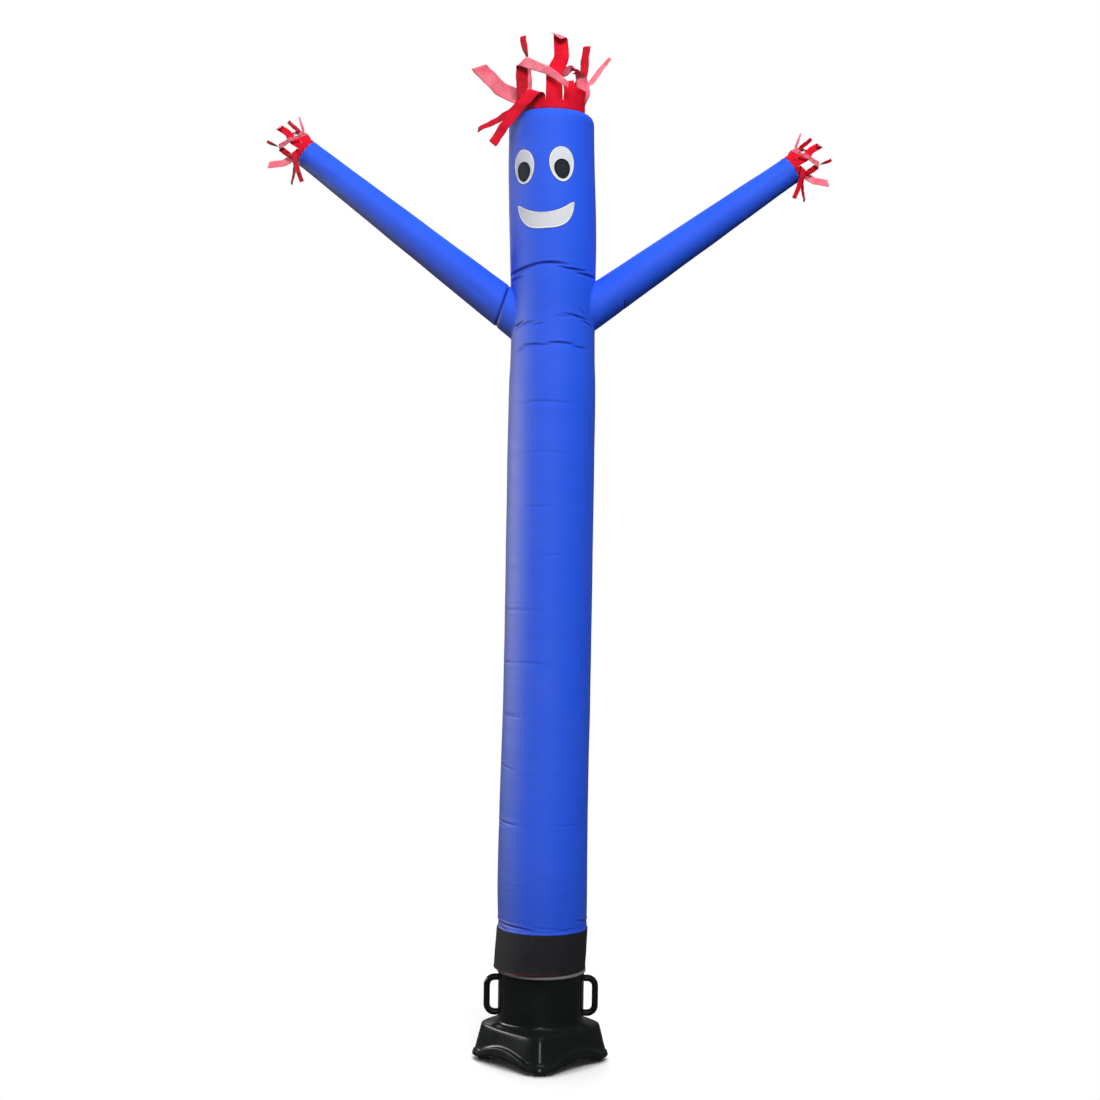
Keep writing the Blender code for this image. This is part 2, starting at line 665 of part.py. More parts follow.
def build_handles(plastic, parts, guides):
    bm = bmesh.new()
    bmesh.ops.create_cone(bm, cap_ends=True, segments=HOUSING_SIDES * 2, depth=0.4,
                          radius1=HOUSING_RADIUS + GAP, radius2=HOUSING_RADIUS + GAP)
    bmesh.ops.translate(bm, vec=(0.0, 0.0, 0.2), verts=bm.verts)
    barrel = add_object("around_housing", bm, None, guides)
    for side, sign in (("left", -1), ("right", 1)):
        path = [(HOUSING_RADIUS - 0.010, HANDLE_TOP)]
        for corner_height, up in ((HANDLE_TOP, 1), (HANDLE_BOTTOM, -1)):
            arc = []
            for k in range(5):
                turn = math.pi / 2 * k / 4
                arc.append((HANDLE_REACH - HANDLE_CORNER * (1.0 - math.sin(turn)),
                            corner_height - up * HANDLE_CORNER * (1.0 - math.cos(turn))))
            path += arc if up == 1 else arc[::-1]
        path.append((HOUSING_RADIUS - 0.010, HANDLE_BOTTOM))
        curve = bpy.data.curves.new("handle_" + side, "CURVE")
        curve.dimensions = "3D"
        curve.bevel_depth = HANDLE_BAR / 2
        curve.bevel_resolution = 3
        curve.use_fill_caps = True
        spline = curve.splines.new("POLY")
        spline.points.add(len(path) - 1)
        for point, (reach, height) in zip(spline.points, path):
            point.co = (sign * reach, 0.0, height, 1.0)
        tube = bpy.data.objects.new("handle_path_" + side, curve)
        parts.objects.link(tube)
        evaluated = tube.evaluated_get(bpy.context.evaluated_depsgraph_get())
        bm = bmesh.new()
        bm.from_mesh(bpy.data.meshes.new_from_object(evaluated))
        bpy.data.objects.remove(tube, do_unlink=True)
        bmesh.ops.remove_doubles(bm, verts=bm.verts, dist=0.00001)
        cut(add_object("handle_" + side, bm, plastic, parts), barrel)


def build_foot_pads(rubber, parts):
    height = FOOT_HEIGHT - GAP
    for name, azimuth in (("front", 0), ("right", 90), ("back", 180), ("left", 270)):
        bm = bmesh.new()
        bmesh.ops.create_cube(bm, size=1.0)
        for vert in bm.verts:
            size = PAD_TOP if vert.co.z > 0 else PAD_FOOT
            vert.co = (vert.co.x * size[1], vert.co.y * size[0] - PAD_REACH, (vert.co.z + 0.5) * height)
        spin = Matrix.Rotation(math.radians(azimuth), 4, "Z")
        bmesh.ops.transform(bm, matrix=spin, verts=bm.verts)
        item = add_object("foot_pad_" + name, bm, rubber, parts)
        bevel = item.modifiers.new("rounding", "BEVEL")
        bevel.width = PAD_ROUND
        bevel.segments = 2


def build_cable_gland(plastic, parts):
    profile = [*reversed(GLAND_PROFILE), (0.0, 0.0)]
    profile.insert(0, (0.0, GLAND_PROFILE[-1][1]))
    bm = bmesh.new()
    points = [bm.verts.new((radius, 0.0, height)) for radius, height in profile]
    for first, second in zip(points, points[1:]):
        bm.edges.new((first, second))
    mesh = bpy.data.meshes.new("cable_gland")
    bm.to_mesh(mesh)
    bm.free()
    mesh.materials.append(plastic)
    item = bpy.data.objects.new("cable_gland", mesh)
    screw = item.modifiers.new("turn", "SCREW")
    screw.steps = 20
    screw.render_steps = 20
    screw.use_merge_vertices = True
    screw.merge_threshold = 0.00001
    item.rotation_euler = (-math.pi / 2, 0.0, 0.0)
    item.location = (0.0, HOUSING_RADIUS + GAP, GLAND_HEIGHT)
    parts.objects.link(item)


clear_scene()
dancer = make_collection("air_dancer")
guide_shapes = make_collection("guides")
blue_cloth = make_material("blue_cloth", (0.03, 0.12, 0.82), 0.42)
red_cloth = make_material("red_cloth", (0.80, 0.01, 0.03), 0.45)
black_cloth = make_material("black_cloth", (0.015, 0.012, 0.016), 0.60)
white_cloth = make_material("white_cloth", (0.78, 0.80, 0.84), 0.50)
dark_cloth = make_material("dark_cloth", (0.02, 0.02, 0.025), 0.50)
black_plastic = make_material("black_plastic", (0.008, 0.009, 0.010), 0.32)
black_rubber = make_material("black_rubber", (0.012, 0.012, 0.012), 0.70)

build_tube_and_arms(blue_cloth, dancer, guide_shapes)
build_cuff(black_cloth, dancer)
build_face(white_cloth, dark_cloth, dancer)
build_fringes(red_cloth, dancer)
build_housing(black_plastic, dancer)
build_handles(black_plastic, dancer, guide_shapes)
build_foot_pads(black_rubber, dancer)
build_cable_gland(black_plastic, dancer)
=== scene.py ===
"""Inflatable air dancer on its blower base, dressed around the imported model."""
import math
from collections import namedtuple

import bmesh
import bpy
from mathutils import Matrix, Vector, noise


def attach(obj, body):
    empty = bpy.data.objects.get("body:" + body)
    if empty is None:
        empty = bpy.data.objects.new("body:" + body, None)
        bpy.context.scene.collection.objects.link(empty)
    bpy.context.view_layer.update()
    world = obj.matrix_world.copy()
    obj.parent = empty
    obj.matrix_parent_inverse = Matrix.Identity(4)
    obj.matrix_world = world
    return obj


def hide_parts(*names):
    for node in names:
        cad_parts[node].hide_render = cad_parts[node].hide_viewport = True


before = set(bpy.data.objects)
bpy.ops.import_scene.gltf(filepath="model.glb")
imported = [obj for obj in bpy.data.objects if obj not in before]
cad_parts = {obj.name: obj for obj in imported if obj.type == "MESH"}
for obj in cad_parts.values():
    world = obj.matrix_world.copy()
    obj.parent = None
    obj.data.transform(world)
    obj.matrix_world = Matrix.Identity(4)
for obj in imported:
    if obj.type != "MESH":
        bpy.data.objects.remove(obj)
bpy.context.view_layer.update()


# Camera, floor and light
# The dancer is seen straight on from its middle height, with a trace of roll. It stands on a
# plain white floor in soft light from the front, with a softbox at its left for the cloth's sheen.
CAMERA_PLACE = (0.0104, -6.24, 1.7645)
CAMERA_ROLL = 0.8
CAMERA_LENS = 58.9

camera_data = bpy.data.cameras.new("camera")
camera_data.lens = CAMERA_LENS
camera_data.sensor_width = 36.0
camera = bpy.data.objects.new("camera", camera_data)
camera.matrix_world = (Matrix.Translation(CAMERA_PLACE) @ Matrix.Rotation(math.radians(90.0), 4, "X")
                       @ Matrix.Rotation(math.radians(CAMERA_ROLL), 4, "Z"))
bpy.context.scene.collection.objects.link(camera)
bpy.context.scene.camera = camera
bpy.context.scene.view_settings.view_transform = "Standard"


class Nodes:
    """A node tree that is built up one named node at a time."""

    def __init__(self, tree):
        self.tree = tree

    def add(self, kind, settings=None, **inputs):
        node = self.tree.nodes.new("ShaderNode" + kind)
        for key, value in (settings or {}).items():
            setattr(node, key, value)
        for key, value in inputs.items():
            self.feed(value, node.inputs[key.replace("_", " ")])
        return node

    def feed(self, value, socket):
        if isinstance(value, bpy.types.NodeSocket):
            self.tree.links.new(value, socket)
        else:
            socket.default_value = value

    def noise(self, place, scale, detail=3.0, roughness=0.55):
        return self.add("TexNoise", Vector=place, Scale=scale, Detail=detail,
                        Roughness=roughness).outputs["Fac"]

    def bands(self, place, direction, scale, distortion=0.0):
        return self.add("TexWave", {"wave_type": "BANDS", "bands_direction": direction}, Vector=place,
                        Scale=scale, Distortion=distortion).outputs["Fac"]

    def stretched(self, place, scale):
        return self.add("Mapping", Vector=place, Scale=scale).outputs["Vector"]

    def spread(self, value, low, high, new_low=0.0, new_high=1.0):
        node = self.add("MapRange", Value=value)
        for slot, amount in zip((1, 2, 3, 4), (low, high, new_low, new_high)):
            self.feed(amount, node.inputs[slot])
        return node.outputs["Result"]

    def mixed(self, factor, first, second):
        node = self.add("Mix", {"data_type": "RGBA"})
        for slot, value in ((0, factor), (6, first), (7, second)):
            self.feed((*value, 1.0) if isinstance(value, tuple) and len(value) == 3 else value,
                      node.inputs[slot])
        return node.outputs[2]

    def sums(self, operation, first, second=0.0):
        node = self.add("Math", {"operation": operation})
        self.feed(first, node.inputs[0])
        self.feed(second, node.inputs[1])
        return node.outputs[0]

    def bump(self, height, strength, distance, under=None):
        node = self.add("Bump", Height=height, Strength=strength, Distance=distance)
        if under is not None:
            self.feed(under, node.inputs["Normal"])
        return node.outputs["Normal"]

    def mark(self, name):
        return self.add("Attribute", {"attribute_name": name}).outputs["Fac"]

    def place(self):
        return self.add("TexCoord").outputs["Object"]

    def flat(self, name="cloth"):
        """Metres along and across the flat cloth."""
        return self.add("UVMap", {"uv_map": name}).outputs["UV"]

    def seen(self):
        """1 where the camera looks straight at it and 0 for the light that it gives to other things."""
        return self.add("LightPath").outputs["Is Camera Ray"]


class Shader(Nodes):
    """The nodes of one material, with its surface."""

    def __init__(self, name, roughness, specular=0.5, **fixed):
        self.material = bpy.data.materials.new(name)
        self.material.use_nodes = True
        super().__init__(self.material.node_tree)
        self.surface = self.tree.nodes["Principled BSDF"]
        self.surface.inputs["Roughness"].default_value = roughness
        self.surface.inputs["Specular IOR Level"].default_value = specular
        for socket, value in fixed.items():
            self.surface.inputs[socket.replace("_", " ")].default_value = value

    def finish(self, colour, roughness=None, normal=None):
        self.feed(colour, self.surface.inputs["Base Color"])
        if roughness is not None:
            self.feed(roughness, self.surface.inputs["Roughness"])
        if normal is not None:
            self.feed(normal, self.surface.inputs["Normal"])
        return self.material


# The floor looks pale, but throws little of its light back up on the dancer
FLOOR_RADIUS = 1.3
FLOOR_SIDES = 96
PALE_GREY = (0.93, 0.93, 0.93)
PALER_GREY = (0.95, 0.95, 0.95)
THROWN_BACK = (0.14, 0.14, 0.14)
floor_shader = Shader("pale_floor", 0.9, 0.1)
floor_tone = floor_shader.mixed(floor_shader.noise(floor_shader.place(), 0.6), PALE_GREY, PALER_GREY)
pale_floor = floor_shader.finish(floor_shader.mixed(floor_shader.seen(), THROWN_BACK, floor_tone))
bm = bmesh.new()
bmesh.ops.create_circle(bm, cap_ends=True, segments=FLOOR_SIDES, radius=FLOOR_RADIUS)
floor_mesh = bpy.data.meshes.new("floor")
bm.to_mesh(floor_mesh)
bm.free()
floor_mesh.materials.append(pale_floor)
floor = bpy.data.objects.new("floor", floor_mesh)
bpy.context.scene.collection.objects.link(floor)

# The walls' own light on the dancer, less from low down; the walls themselves look white
ROOM_LIGHT = 0.25
LOW_LIGHT = 0.08
LOW_HEADING = -0.25           # upward part of the direction where the light is at its lowest
ROOM_HEADING = 0.10
world = bpy.data.worlds.new("studio")
bpy.context.scene.world = world
world.use_nodes = True
studio = Nodes(world.node_tree)
upward = studio.add("SeparateXYZ", Vector=studio.add("TexCoord").outputs["Generated"]).outputs["Z"]
walls = studio.spread(upward, LOW_HEADING, ROOM_HEADING, LOW_LIGHT, ROOM_LIGHT)
backdrop = world.node_tree.nodes["Background"]
backdrop.inputs["Color"].default_value = (1.0, 1.0, 1.0, 1.0)
studio.feed(studio.spread(studio.seen(), 0.0, 1.0, walls, 1.0), backdrop.inputs["Strength"])

# Each lamp lights the colour of things, the shine on them or both; a sun's wide is its angle
Lamp = namedtuple("Lamp", "name kind place wide tall power colour shine")
LIGHT_AIM = Vector((0.0, 0.0, 1.8))
LAMPS = (
    Lamp("key", "AREA", (1.2, -7.6, 7.6), 8.0, 2.2, 825.0, True, True),
    Lamp("ceiling", "SUN", (-0.3, 0.6, 8.0), 0.80, 0.80, 1.48, True, False),
    Lamp("left_softbox", "AREA", (-6.2, 0.3, 2.2), 7.0, 1.2, 1500.0, False, True),
    Lamp("front_light", "AREA", (0.0, -6.7, 1.45), 1.0, 0.4, 290.0, False, True),
    Lamp("back_softbox", "AREA", (-1.6, 6.4, 5.0), 4.0, 4.0, 170.0, True, True),
)
for lamp in LAMPS:
    light = bpy.data.lights.new(lamp.name, lamp.kind)
    light.energy = lamp.power
    if lamp.kind == "SUN":
        light.angle = lamp.wide
    else:
        light.shape = "RECTANGLE"
        light.size = lamp.wide
        light.size_y = lamp.tall
    holder = bpy.data.objects.new(lamp.name, light)
    holder.location = lamp.place
    holder.rotation_euler = (LIGHT_AIM - Vector(lamp.place)).to_track_quat("-Z", "Y").to_euler()
    holder.visible_diffuse = lamp.colour
    holder.visible_glossy = lamp.shine
    bpy.context.scene.collection.objects.link(holder)


# Body tube
# One tube of thin blue nylon sewn up the back, held round by the blown air. It is creased across
# the neck, under the arms and above its bottom hem, and it narrows to the open top of the head.
NYLON = 0.0008
GAP = 0.0003                  # left between sewn pieces
Section = namedtuple("Section", "height shift radius lift")
TUBE_SECTIONS = (
    Section(0.4597, 0.002, 0.1540, 0.000),
    Section(0.620, 0.000, 0.1555, 0.000),
    Section(0.900, 0.001, 0.1530, 0.000),
    Section(1.250, 0.006, 0.1512, 0.000),
    Section(1.750, 0.008, 0.1508, 0.000),
    Section(2.150, 0.009, 0.1508, 0.000),
    Section(2.340, 0.010, 0.1495, 0.020),
    Section(2.415, 0.010, 0.1465, 0.054),
    Section(2.520, 0.010, 0.1450, 0.045),
    Section(2.620, 0.009, 0.1465, 0.040),
    Section(2.701, 0.008, 0.1475, 0.037),
    Section(2.820, 0.006, 0.1498, 0.012),
    Section(2.930, 0.003, 0.1508, 0.000),
    Section(3.080, -0.002, 0.1495, 0.000),
    Section(3.225, -0.0045, 0.1478, 0.000),
)
TUBE_COLUMNS = 120
VENT_RADIUS = 0.114
VENT_HEIGHT = 3.268
# (radius, height) from the tube's side over its shoulder to the open top
CROWN = ((0.1477, 3.2300), (0.1472, 3.2370), (0.1462, 3.2430), (0.1446, 3.2485), (0.1421, 3.2535),
         (0.1386, 3.2580), (0.1340, 3.2620), (0.1285, 3.2652), (0.1230, 3.2672), (0.1180, 3.2680),
         (VENT_RADIUS, VENT_HEIGHT))

# A crease runs through places of (azimuth, height); its width is half of its fold's, and its lip
# is how far the cloth swells out above it
Crease = namedtuple("Crease", "depth width lip places")
CREASES = (
    # Round the neck
    Crease(0.0068, 0.0042, 0.002, ((-86, 2.709), (-66, 2.7145), (-48, 2.721), (-34, 2.7265),
                                   (-22, 2.7318))),
    Crease(0.0034, 0.003, 0.001, ((-47, 2.7245), (-38, 2.7288), (-28, 2.7325), (-18, 2.7345))),
    Crease(0.0072, 0.004, 0.002, ((-31, 2.7305), (-16, 2.7373), (-4, 2.7391), (9, 2.7371), (22, 2.7305))),
    Crease(0.0062, 0.0038, 0.0016, ((4, 2.7262), (14, 2.7228), (24, 2.72), (35, 2.7188), (50, 2.7166))),
    Crease(0.0056, 0.0038, 0.0014, ((28, 2.7082), (42, 2.7062), (58, 2.7045), (84, 2.7015))),
    Crease(0.0042, 0.0036, 0.0014, ((-86, 2.688), (-59, 2.6925), (-42, 2.6975))),
    # Over the chest
    Crease(0.0058, 0.0036, 0.002, ((-84, 2.5145), (-65, 2.5254), (-47, 2.5411), (-40, 2.544))),
    Crease(0.004, 0.0034, 0.0012, ((-58, 2.524), (-43, 2.5361), (-34, 2.5386), (-24, 2.5384))),
    Crease(0.0022, 0.0034, 0.0008, ((-28, 2.5265), (-16, 2.5324), (-8, 2.5345))),
    Crease(0.0048, 0.0034, 0.0018, ((13, 2.5678), (26, 2.5648), (41, 2.5581), (58, 2.549))),
    Crease(0.0022, 0.0034, 0.0008, ((2, 2.5572), (14, 2.5588), (28, 2.5565))),
    # Under the right arm
    Crease(0.0034, 0.004, 0.0014, ((33, 2.5975), (43, 2.579), (50, 2.565), (58, 2.55))),
    Crease(0.0034, 0.0034, 0.0012, ((39, 2.5455), (52, 2.542), (61, 2.537), (70, 2.527))),
    # Below both arms
    Crease(0.003, 0.0034, 0.001, ((-60, 2.4455), (-46, 2.4511), (-38, 2.4552))),
    Crease(0.0046, 0.0034, 0.0016, ((-50, 2.4595), (-36, 2.4622), (-20, 2.4622), (-1, 2.457))),
    Crease(0.005, 0.0034, 0.0018, ((-10, 2.464), (4, 2.4689), (16, 2.4674), (32, 2.4636))),
    Crease(0.0036, 0.0034, 0.0012, ((24, 2.457), (36, 2.4558), (52, 2.4518))),
    # Waist and hips
    Crease(0.002, 0.0042, 0.0007, ((-50, 2.261), (-25, 2.2675), (-6, 2.269), (12, 2.2655), (34, 2.26))),
    Crease(0.001, 0.005, 0.0003, ((-48, 2.093), (-12, 2.096), (26, 2.092))),
    Crease(0.0013, 0.0046, 0.0004, ((-36, 1.909), (-16, 1.9125), (6, 1.9105))),
    Crease(0.0011, 0.0044, 0.0004, ((-8, 1.745), (6, 1.7465), (22, 1.745))),
    # Down the left of the leg
    Crease(0.0011, 0.0056, 0.0004, ((-92, 1.556), (-66, 1.5575), (-34, 1.5585), (-4, 1.556))),
    Crease(0.0013, 0.0044, 0.0005, ((-92, 1.3775), (-72, 1.3765), (-46, 1.3755))),
    Crease(0.0011, 0.0044, 0.0004, ((-44, 1.379), (-22, 1.3795), (0, 1.377))),
    Crease(0.001, 0.004, 0.0004, ((-84, 1.1995), (-60, 1.2), (-34, 1.1985))),
    Crease(0.001, 0.004, 0.0004, ((-80, 1.1915), (-56, 1.1925), (-32, 1.191))),
    Crease(0.0014, 0.0042, 0.0005, ((-92, 1.033), (-70, 1.024), (-52, 1.015), (-38, 1.01))),
    Crease(0.0022, 0.004, 0.0008, ((-96, 0.8225), (-80, 0.833), (-62, 0.829), (-34, 0.825))),
    Crease(0.0014, 0.0038, 0.0005, ((-92, 0.814), (-76, 0.82), (-58, 0.818))),
    # On the right of the leg
    Crease(0.001, 0.0042, 0.0004, ((6, 0.83), (36, 0.827), (66, 0.825))),
    Crease(0.001, 0.0045, 0.0004, ((52, 0.626), (68, 0.628), (86, 0.627))),
    # Tucked in above the cuff
    Crease(0.005, 0.0036, 0.0022, ((-112, 0.484), (-84, 0.4835), (-56, 0.4815), (-27, 0.4786),
                                   (-8, 0.4695))),
    Crease(0.0044, 0.0032, 0.001, ((-92, 0.48), (-68, 0.47), (-50, 0.4615))),
    Crease(0.0014, 0.0036, 0.0006, ((-14, 0.484), (4, 0.482), (22, 0.478))),
    Crease(0.0024, 0.0036, 0.0008, ((14, 0.472), (34, 0.4735), (50, 0.476))),
    Crease(0.0036, 0.0036, 0.0016, ((46, 0.5), (64, 0.4945), (80, 0.486), (110, 0.485))),
    # At the back: neck, underarms, waist and leg
    Crease(0.006, 0.0055, 0.0015, ((116, 2.694), (150, 2.699), (176, 2.701), (206, 2.698), (240, 2.692))),
    Crease(0.005, 0.0055, 0.0015, ((136, 2.415), (160, 2.418), (184, 2.417), (214, 2.412))),
    Crease(0.003, 0.007, 0.0008, ((120, 2.262), (150, 2.266), (186, 2.264))),
    Crease(0.002, 0.008, 0.0006, ((176, 1.32), (204, 1.324), (236, 1.321))),
)
CREASE_REACH = 0.06           # a crease does nothing further away than this
CREASE_SHARPNESS = 1.7
CREASE_ENDS = 0.55            # how fast a crease fades towards its ends
FOLD_SHARE = 0.74             # how much of a crease's depth is its fold; the rest is a soft trough
TROUGH = 2.6                  # width of the trough, in widths of the crease
LIP_ABOVE = 1.9               # place and width of the lip, in widths of the crease
LIP_WIDTH = 1.1
FULL_FOLD_SHADE = 0.005             # a crease of this depth has all of a fold's painted shade
RIPPLE = 0.0007               # the cloth's faint unevenness, round the tube and up it
RIPPLE_ROUND = 2.2
RIPPLE_UP = 7.0
SEAM_AZIMUTH = 180.0
SEAM_HALF = 0.006
SEAM_FADE = 0.002
SEAM_RISE = 0.0009
HEM_ROLL = 0.0022             # the rolled lower edge
HEM_ROLL_REACH = 0.0045
SHADED_BELOW = 0.80           # painted shade: the cloth is darker towards its foot, where less light reaches it
SHADED_MOST = 0.47
LOW_PAINTED_SHADE = 0.17
PUCKERS = 17                  # gathers round the open top
PUCKER_DEPTH = 0.0009
# Rows up the tube, as (end, step) of each stretch, close together where a crease crosses
TUBE_STRETCHES = (
    (0.512, 0.0026), (0.615, 0.0155), (0.640, 0.0035), (0.805, 0.0155), (0.843, 0.0030),
    (1.000, 0.0155), (1.040, 0.0038), (1.183, 0.0155), (1.209, 0.0034), (1.365, 0.0155),
    (1.391, 0.0036), (1.545, 0.0155), (1.571, 0.0040), (1.732, 0.0155), (1.762, 0.0040),
    (1.898, 0.0136), (1.930, 0.0035), (2.080, 0.0140), (2.110, 0.0035), (2.245, 0.0120),
    (2.285, 0.0028), (2.390, 0.0090), (2.440, 0.0022), (2.485, 0.0050), (2.575, 0.0023),
    (2.655, 0.0065), (2.735, 0.0021), (3.225, 0.0120))
WEAVE_ROUND_TUBE = 0.95       # metres of weave once round
THREADS = 260.0               # scale of the nylon's weave
NYLON_ROUGHNESS = 0.60
PALE_BLUE = (0.025, 0.116, 0.890)
# the colour of the painted shade in folds and low on the tube, and of the cloth's darker streaks
STREAK_AND_SHADE_BLUE = (0.005, 0.010, 0.110)


def smooth_step(value):
    value = min(max(value, 0.0), 1.0)
    return value * value * (3.0 - 2.0 * value)


def half_turned(degrees):
    """An angle brought to between -180 and 180 degrees."""
    return (degrees + 180.0) % 360.0 - 180.0


def steps(start, end, count):
    """Even steps from start to end, without the start."""
    return [start + (end - start) * k / count for k in range(1, count + 1)]


def ring_point(turn, radius, height, shift=0.0):
    """A point at a turn in radians round an upright line, from the front towards +X."""
    return Vector((shift + radius * math.sin(turn), -radius * math.cos(turn), height))


def crease_height(places, azimuth):
    """Height of a crease at an azimuth, and how much of its depth is there: 0 at its ends."""
    first, last = places[0][0], places[-1][0]
    middle = (first + last) / 2
    azimuth = middle + half_turned(azimuth - middle)
    if not first < azimuth < last:
        return 0.0, 0.0
    for (a, low), (b, high) in zip(places, places[1:]):
        if azimuth <= b:
            height = low + (high - low) * (azimuth - a) / (b - a)
            break
    part = (azimuth - first) / (last - first)
    return height, math.sin(math.pi * part) ** CREASE_ENDS


def section_at(height):
    """The tube's shift and radius at a height, on a smooth line through the sections, and its lift."""
    last = len(TUBE_SECTIONS) - 1
    index = 1
    while index < last and height > TUBE_SECTIONS[index].height:
        index += 1
    before, low, high, after = (TUBE_SECTIONS[min(max(k, 0), last)] for k in range(index - 2, index + 2))
    span = high.height - low.height
    part = min(max((height - low.height) / span, 0.0), 1.0)
    eased = smooth_step(part)
    values = []
    for column in (1, 2):
        slope_in = (high[column] - before[column]) / (high.height - before.height)
        slope_out = (after[column] - low[column]) / (after.height - low.height)
        values.append(low[column] + (high[column] - low[column]) * eased
                      + span * part * (1.0 - part) * (slope_in * (1.0 - part) - slope_out * part))
    return [*values, low.lift + (high.lift - low.lift) * eased]


def tube_dent(azimuth, rise):
    """How far the cloth lies inside its round shape, and how much painted shade its crease gives it."""
    dent = depth = 0.0
    for crease in CREASES:
        if abs(rise - crease.places[len(crease.places) // 2][1]) > CREASE_REACH:
            continue
        height, share = crease_height(crease.places, azimuth)
        if share == 0.0:
            continue
        across = (rise - height) / crease.width
        fold = math.exp(-CREASE_SHARPNESS * across * across)
        trough = math.exp(-(across / TROUGH) ** 2)
        above = math.exp(-((across - LIP_ABOVE) / LIP_WIDTH) ** 2)
        both = FOLD_SHARE * fold + (1.0 - FOLD_SHARE) * trough
        dent += share * (crease.depth * both - crease.lip * above)
        depth = max(depth, share * fold * min(1.0, crease.depth / FULL_FOLD_SHADE))
    return dent, depth


def tube_point(azimuth, height, outset=0.0, marks=None):
    """A point on the tube at an azimuth in degrees; outset moves it away from the axis, and marks
    takes the painted shade of the crease it is in."""
    shift, radius, lift = section_at(height)
    turn = math.radians(azimuth)
    rise = height + lift * max(0.0, math.cos(turn))
    dent, depth = tube_dent(azimuth, rise)
    ripple = noise.noise(Vector((RIPPLE_ROUND * math.sin(turn), RIPPLE_ROUND * math.cos(turn),
                                 rise * RIPPLE_UP)))
    off_seam = abs(half_turned(azimuth - SEAM_AZIMUTH))
    seam = 1.0 - smooth_step((math.radians(off_seam) * radius - SEAM_HALF) / SEAM_FADE)
    hem = math.exp(-((height - TUBE_SECTIONS[0].height) / HEM_ROLL_REACH) ** 2)
    radius += outset - dent + RIPPLE * ripple + SEAM_RISE * seam + HEM_ROLL * hem
    if marks is not None:
        marks.append(depth)
    return ring_point(turn, radius, rise, shift)


def tube_heights():
    start = TUBE_SECTIONS[0].height
    heights = [start]
    for end, step in TUBE_STRETCHES:
        heights += steps(start, end, max(1, round((end - start) / step)))
        start = end
    return heights


def sheet_mesh(name, rows, marks=None, **flats):
    """A single skin through rows of points that close round. A flat gives the place in metres on
    the flat cloth of each row and column, with one more column where the rows close."""
    count = len(rows[0])
    cells = [(r, k) for r in range(len(rows) - 1) for k in range(count)]
    faces = [(r * count + k, r * count + (k + 1) % count, (r + 1) * count + (k + 1) % count,
              (r + 1) * count + k) for r, k in cells]
    mesh = bpy.data.meshes.new(name)
    mesh.from_pydata([point for row in rows for point in row], [], faces)
    for key, flat in flats.items():
        corners = [place for r, k in cells
                   for place in (flat(r, k), flat(r, k + 1), flat(r + 1, k + 1), flat(r + 1, k))]
        layer = mesh.uv_layers.new(name=key)
        layer.data.foreach_set("uv", [value for corner in corners for value in corner])
    for key, values in (marks or {}).items():
        attribute = mesh.attributes.new(key, "FLOAT", "POINT")
        attribute.data.foreach_set("value", values)
    return mesh


def drop_faces(mesh, inside):
    """Cut away the faces whose middle is inside something."""
    bm = bmesh.new()
    bm.from_mesh(mesh)
    gone = [face for face in bm.faces if inside(face.calc_center_median())]
    bmesh.ops.delete(bm, geom=gone, context="FACES")
    bm.to_mesh(mesh)
    bm.free()


def add_piece(name, mesh, materials, thickness=0.0, offset=-1.0, smooth_angle=None):
    """An object on the dancer's one body; a thickness makes its single skin a closed sheet."""
    for material in materials:
        mesh.materials.append(material)
    mesh.shade_smooth()
    if smooth_angle:
        mesh.set_sharp_from_angle(angle=math.radians(smooth_angle))
    piece = bpy.data.objects.new(name, mesh)
    bpy.context.scene.collection.objects.link(piece)
    if thickness:
        solidify = piece.modifiers.new("thickness", "SOLIDIFY")
        solidify.thickness = thickness
        solidify.offset = offset
    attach(piece, "root")
    return piece


def nylon(name, colour):
    """Thin woven nylon: a fine plain weave, soft streaks across it, and painted shade in its folds and
    towards its foot.
    """
    shader = Shader(name, NYLON_ROUGHNESS, 0.15, Sheen_Weight=0.03, Sheen_Roughness=0.42,
                    Sheen_Tint=(0.80, 0.84, 1.0, 1.0))
    flat = shader.flat()
    cloudy = shader.noise(shader.place(), 5.0)
    streaks = shader.noise(shader.stretched(flat, (7.0, 160.0, 1.0)), 1.0, 4.0)
    height = shader.add("SeparateXYZ", Vector=shader.place()).outputs["Z"]
    tone = shader.mixed(shader.spread(cloudy, 0.3, 0.7), colour, PALE_BLUE)
    # painted shade in the folds, the cloth's own darker streaks, then painted shade towards the foot
    for dulled in (shader.spread(shader.mark("fold"), 0.22, 0.85, 0.0, 0.92),
                   shader.spread(streaks, 0.35, 0.75, 0.0, 0.08),
                   shader.spread(height, SHADED_BELOW, SHADED_MOST, 0.0, LOW_PAINTED_SHADE)):
        tone = shader.mixed(dulled, tone, STREAK_AND_SHADE_BLUE)
    rough = shader.spread(streaks, 0.2, 0.8, NYLON_ROUGHNESS - 0.05, NYLON_ROUGHNESS + 0.07)
    threads = shader.sums("MAXIMUM", shader.bands(flat, "X", THREADS), shader.bands(flat, "Y", THREADS))
    normal = shader.bump(threads, 0.10, 0.0002)
    normal = shader.bump(streaks, 0.25, 0.0012, normal)
    normal = shader.bump(shader.noise(shader.stretched(flat, (2.0, 26.0, 1.0)), 1.0), 0.30, 0.0040, normal)
    return shader.finish(tone, rough, normal)


blue_nylon = nylon("blue_nylon", (0.018, 0.106, 0.880))

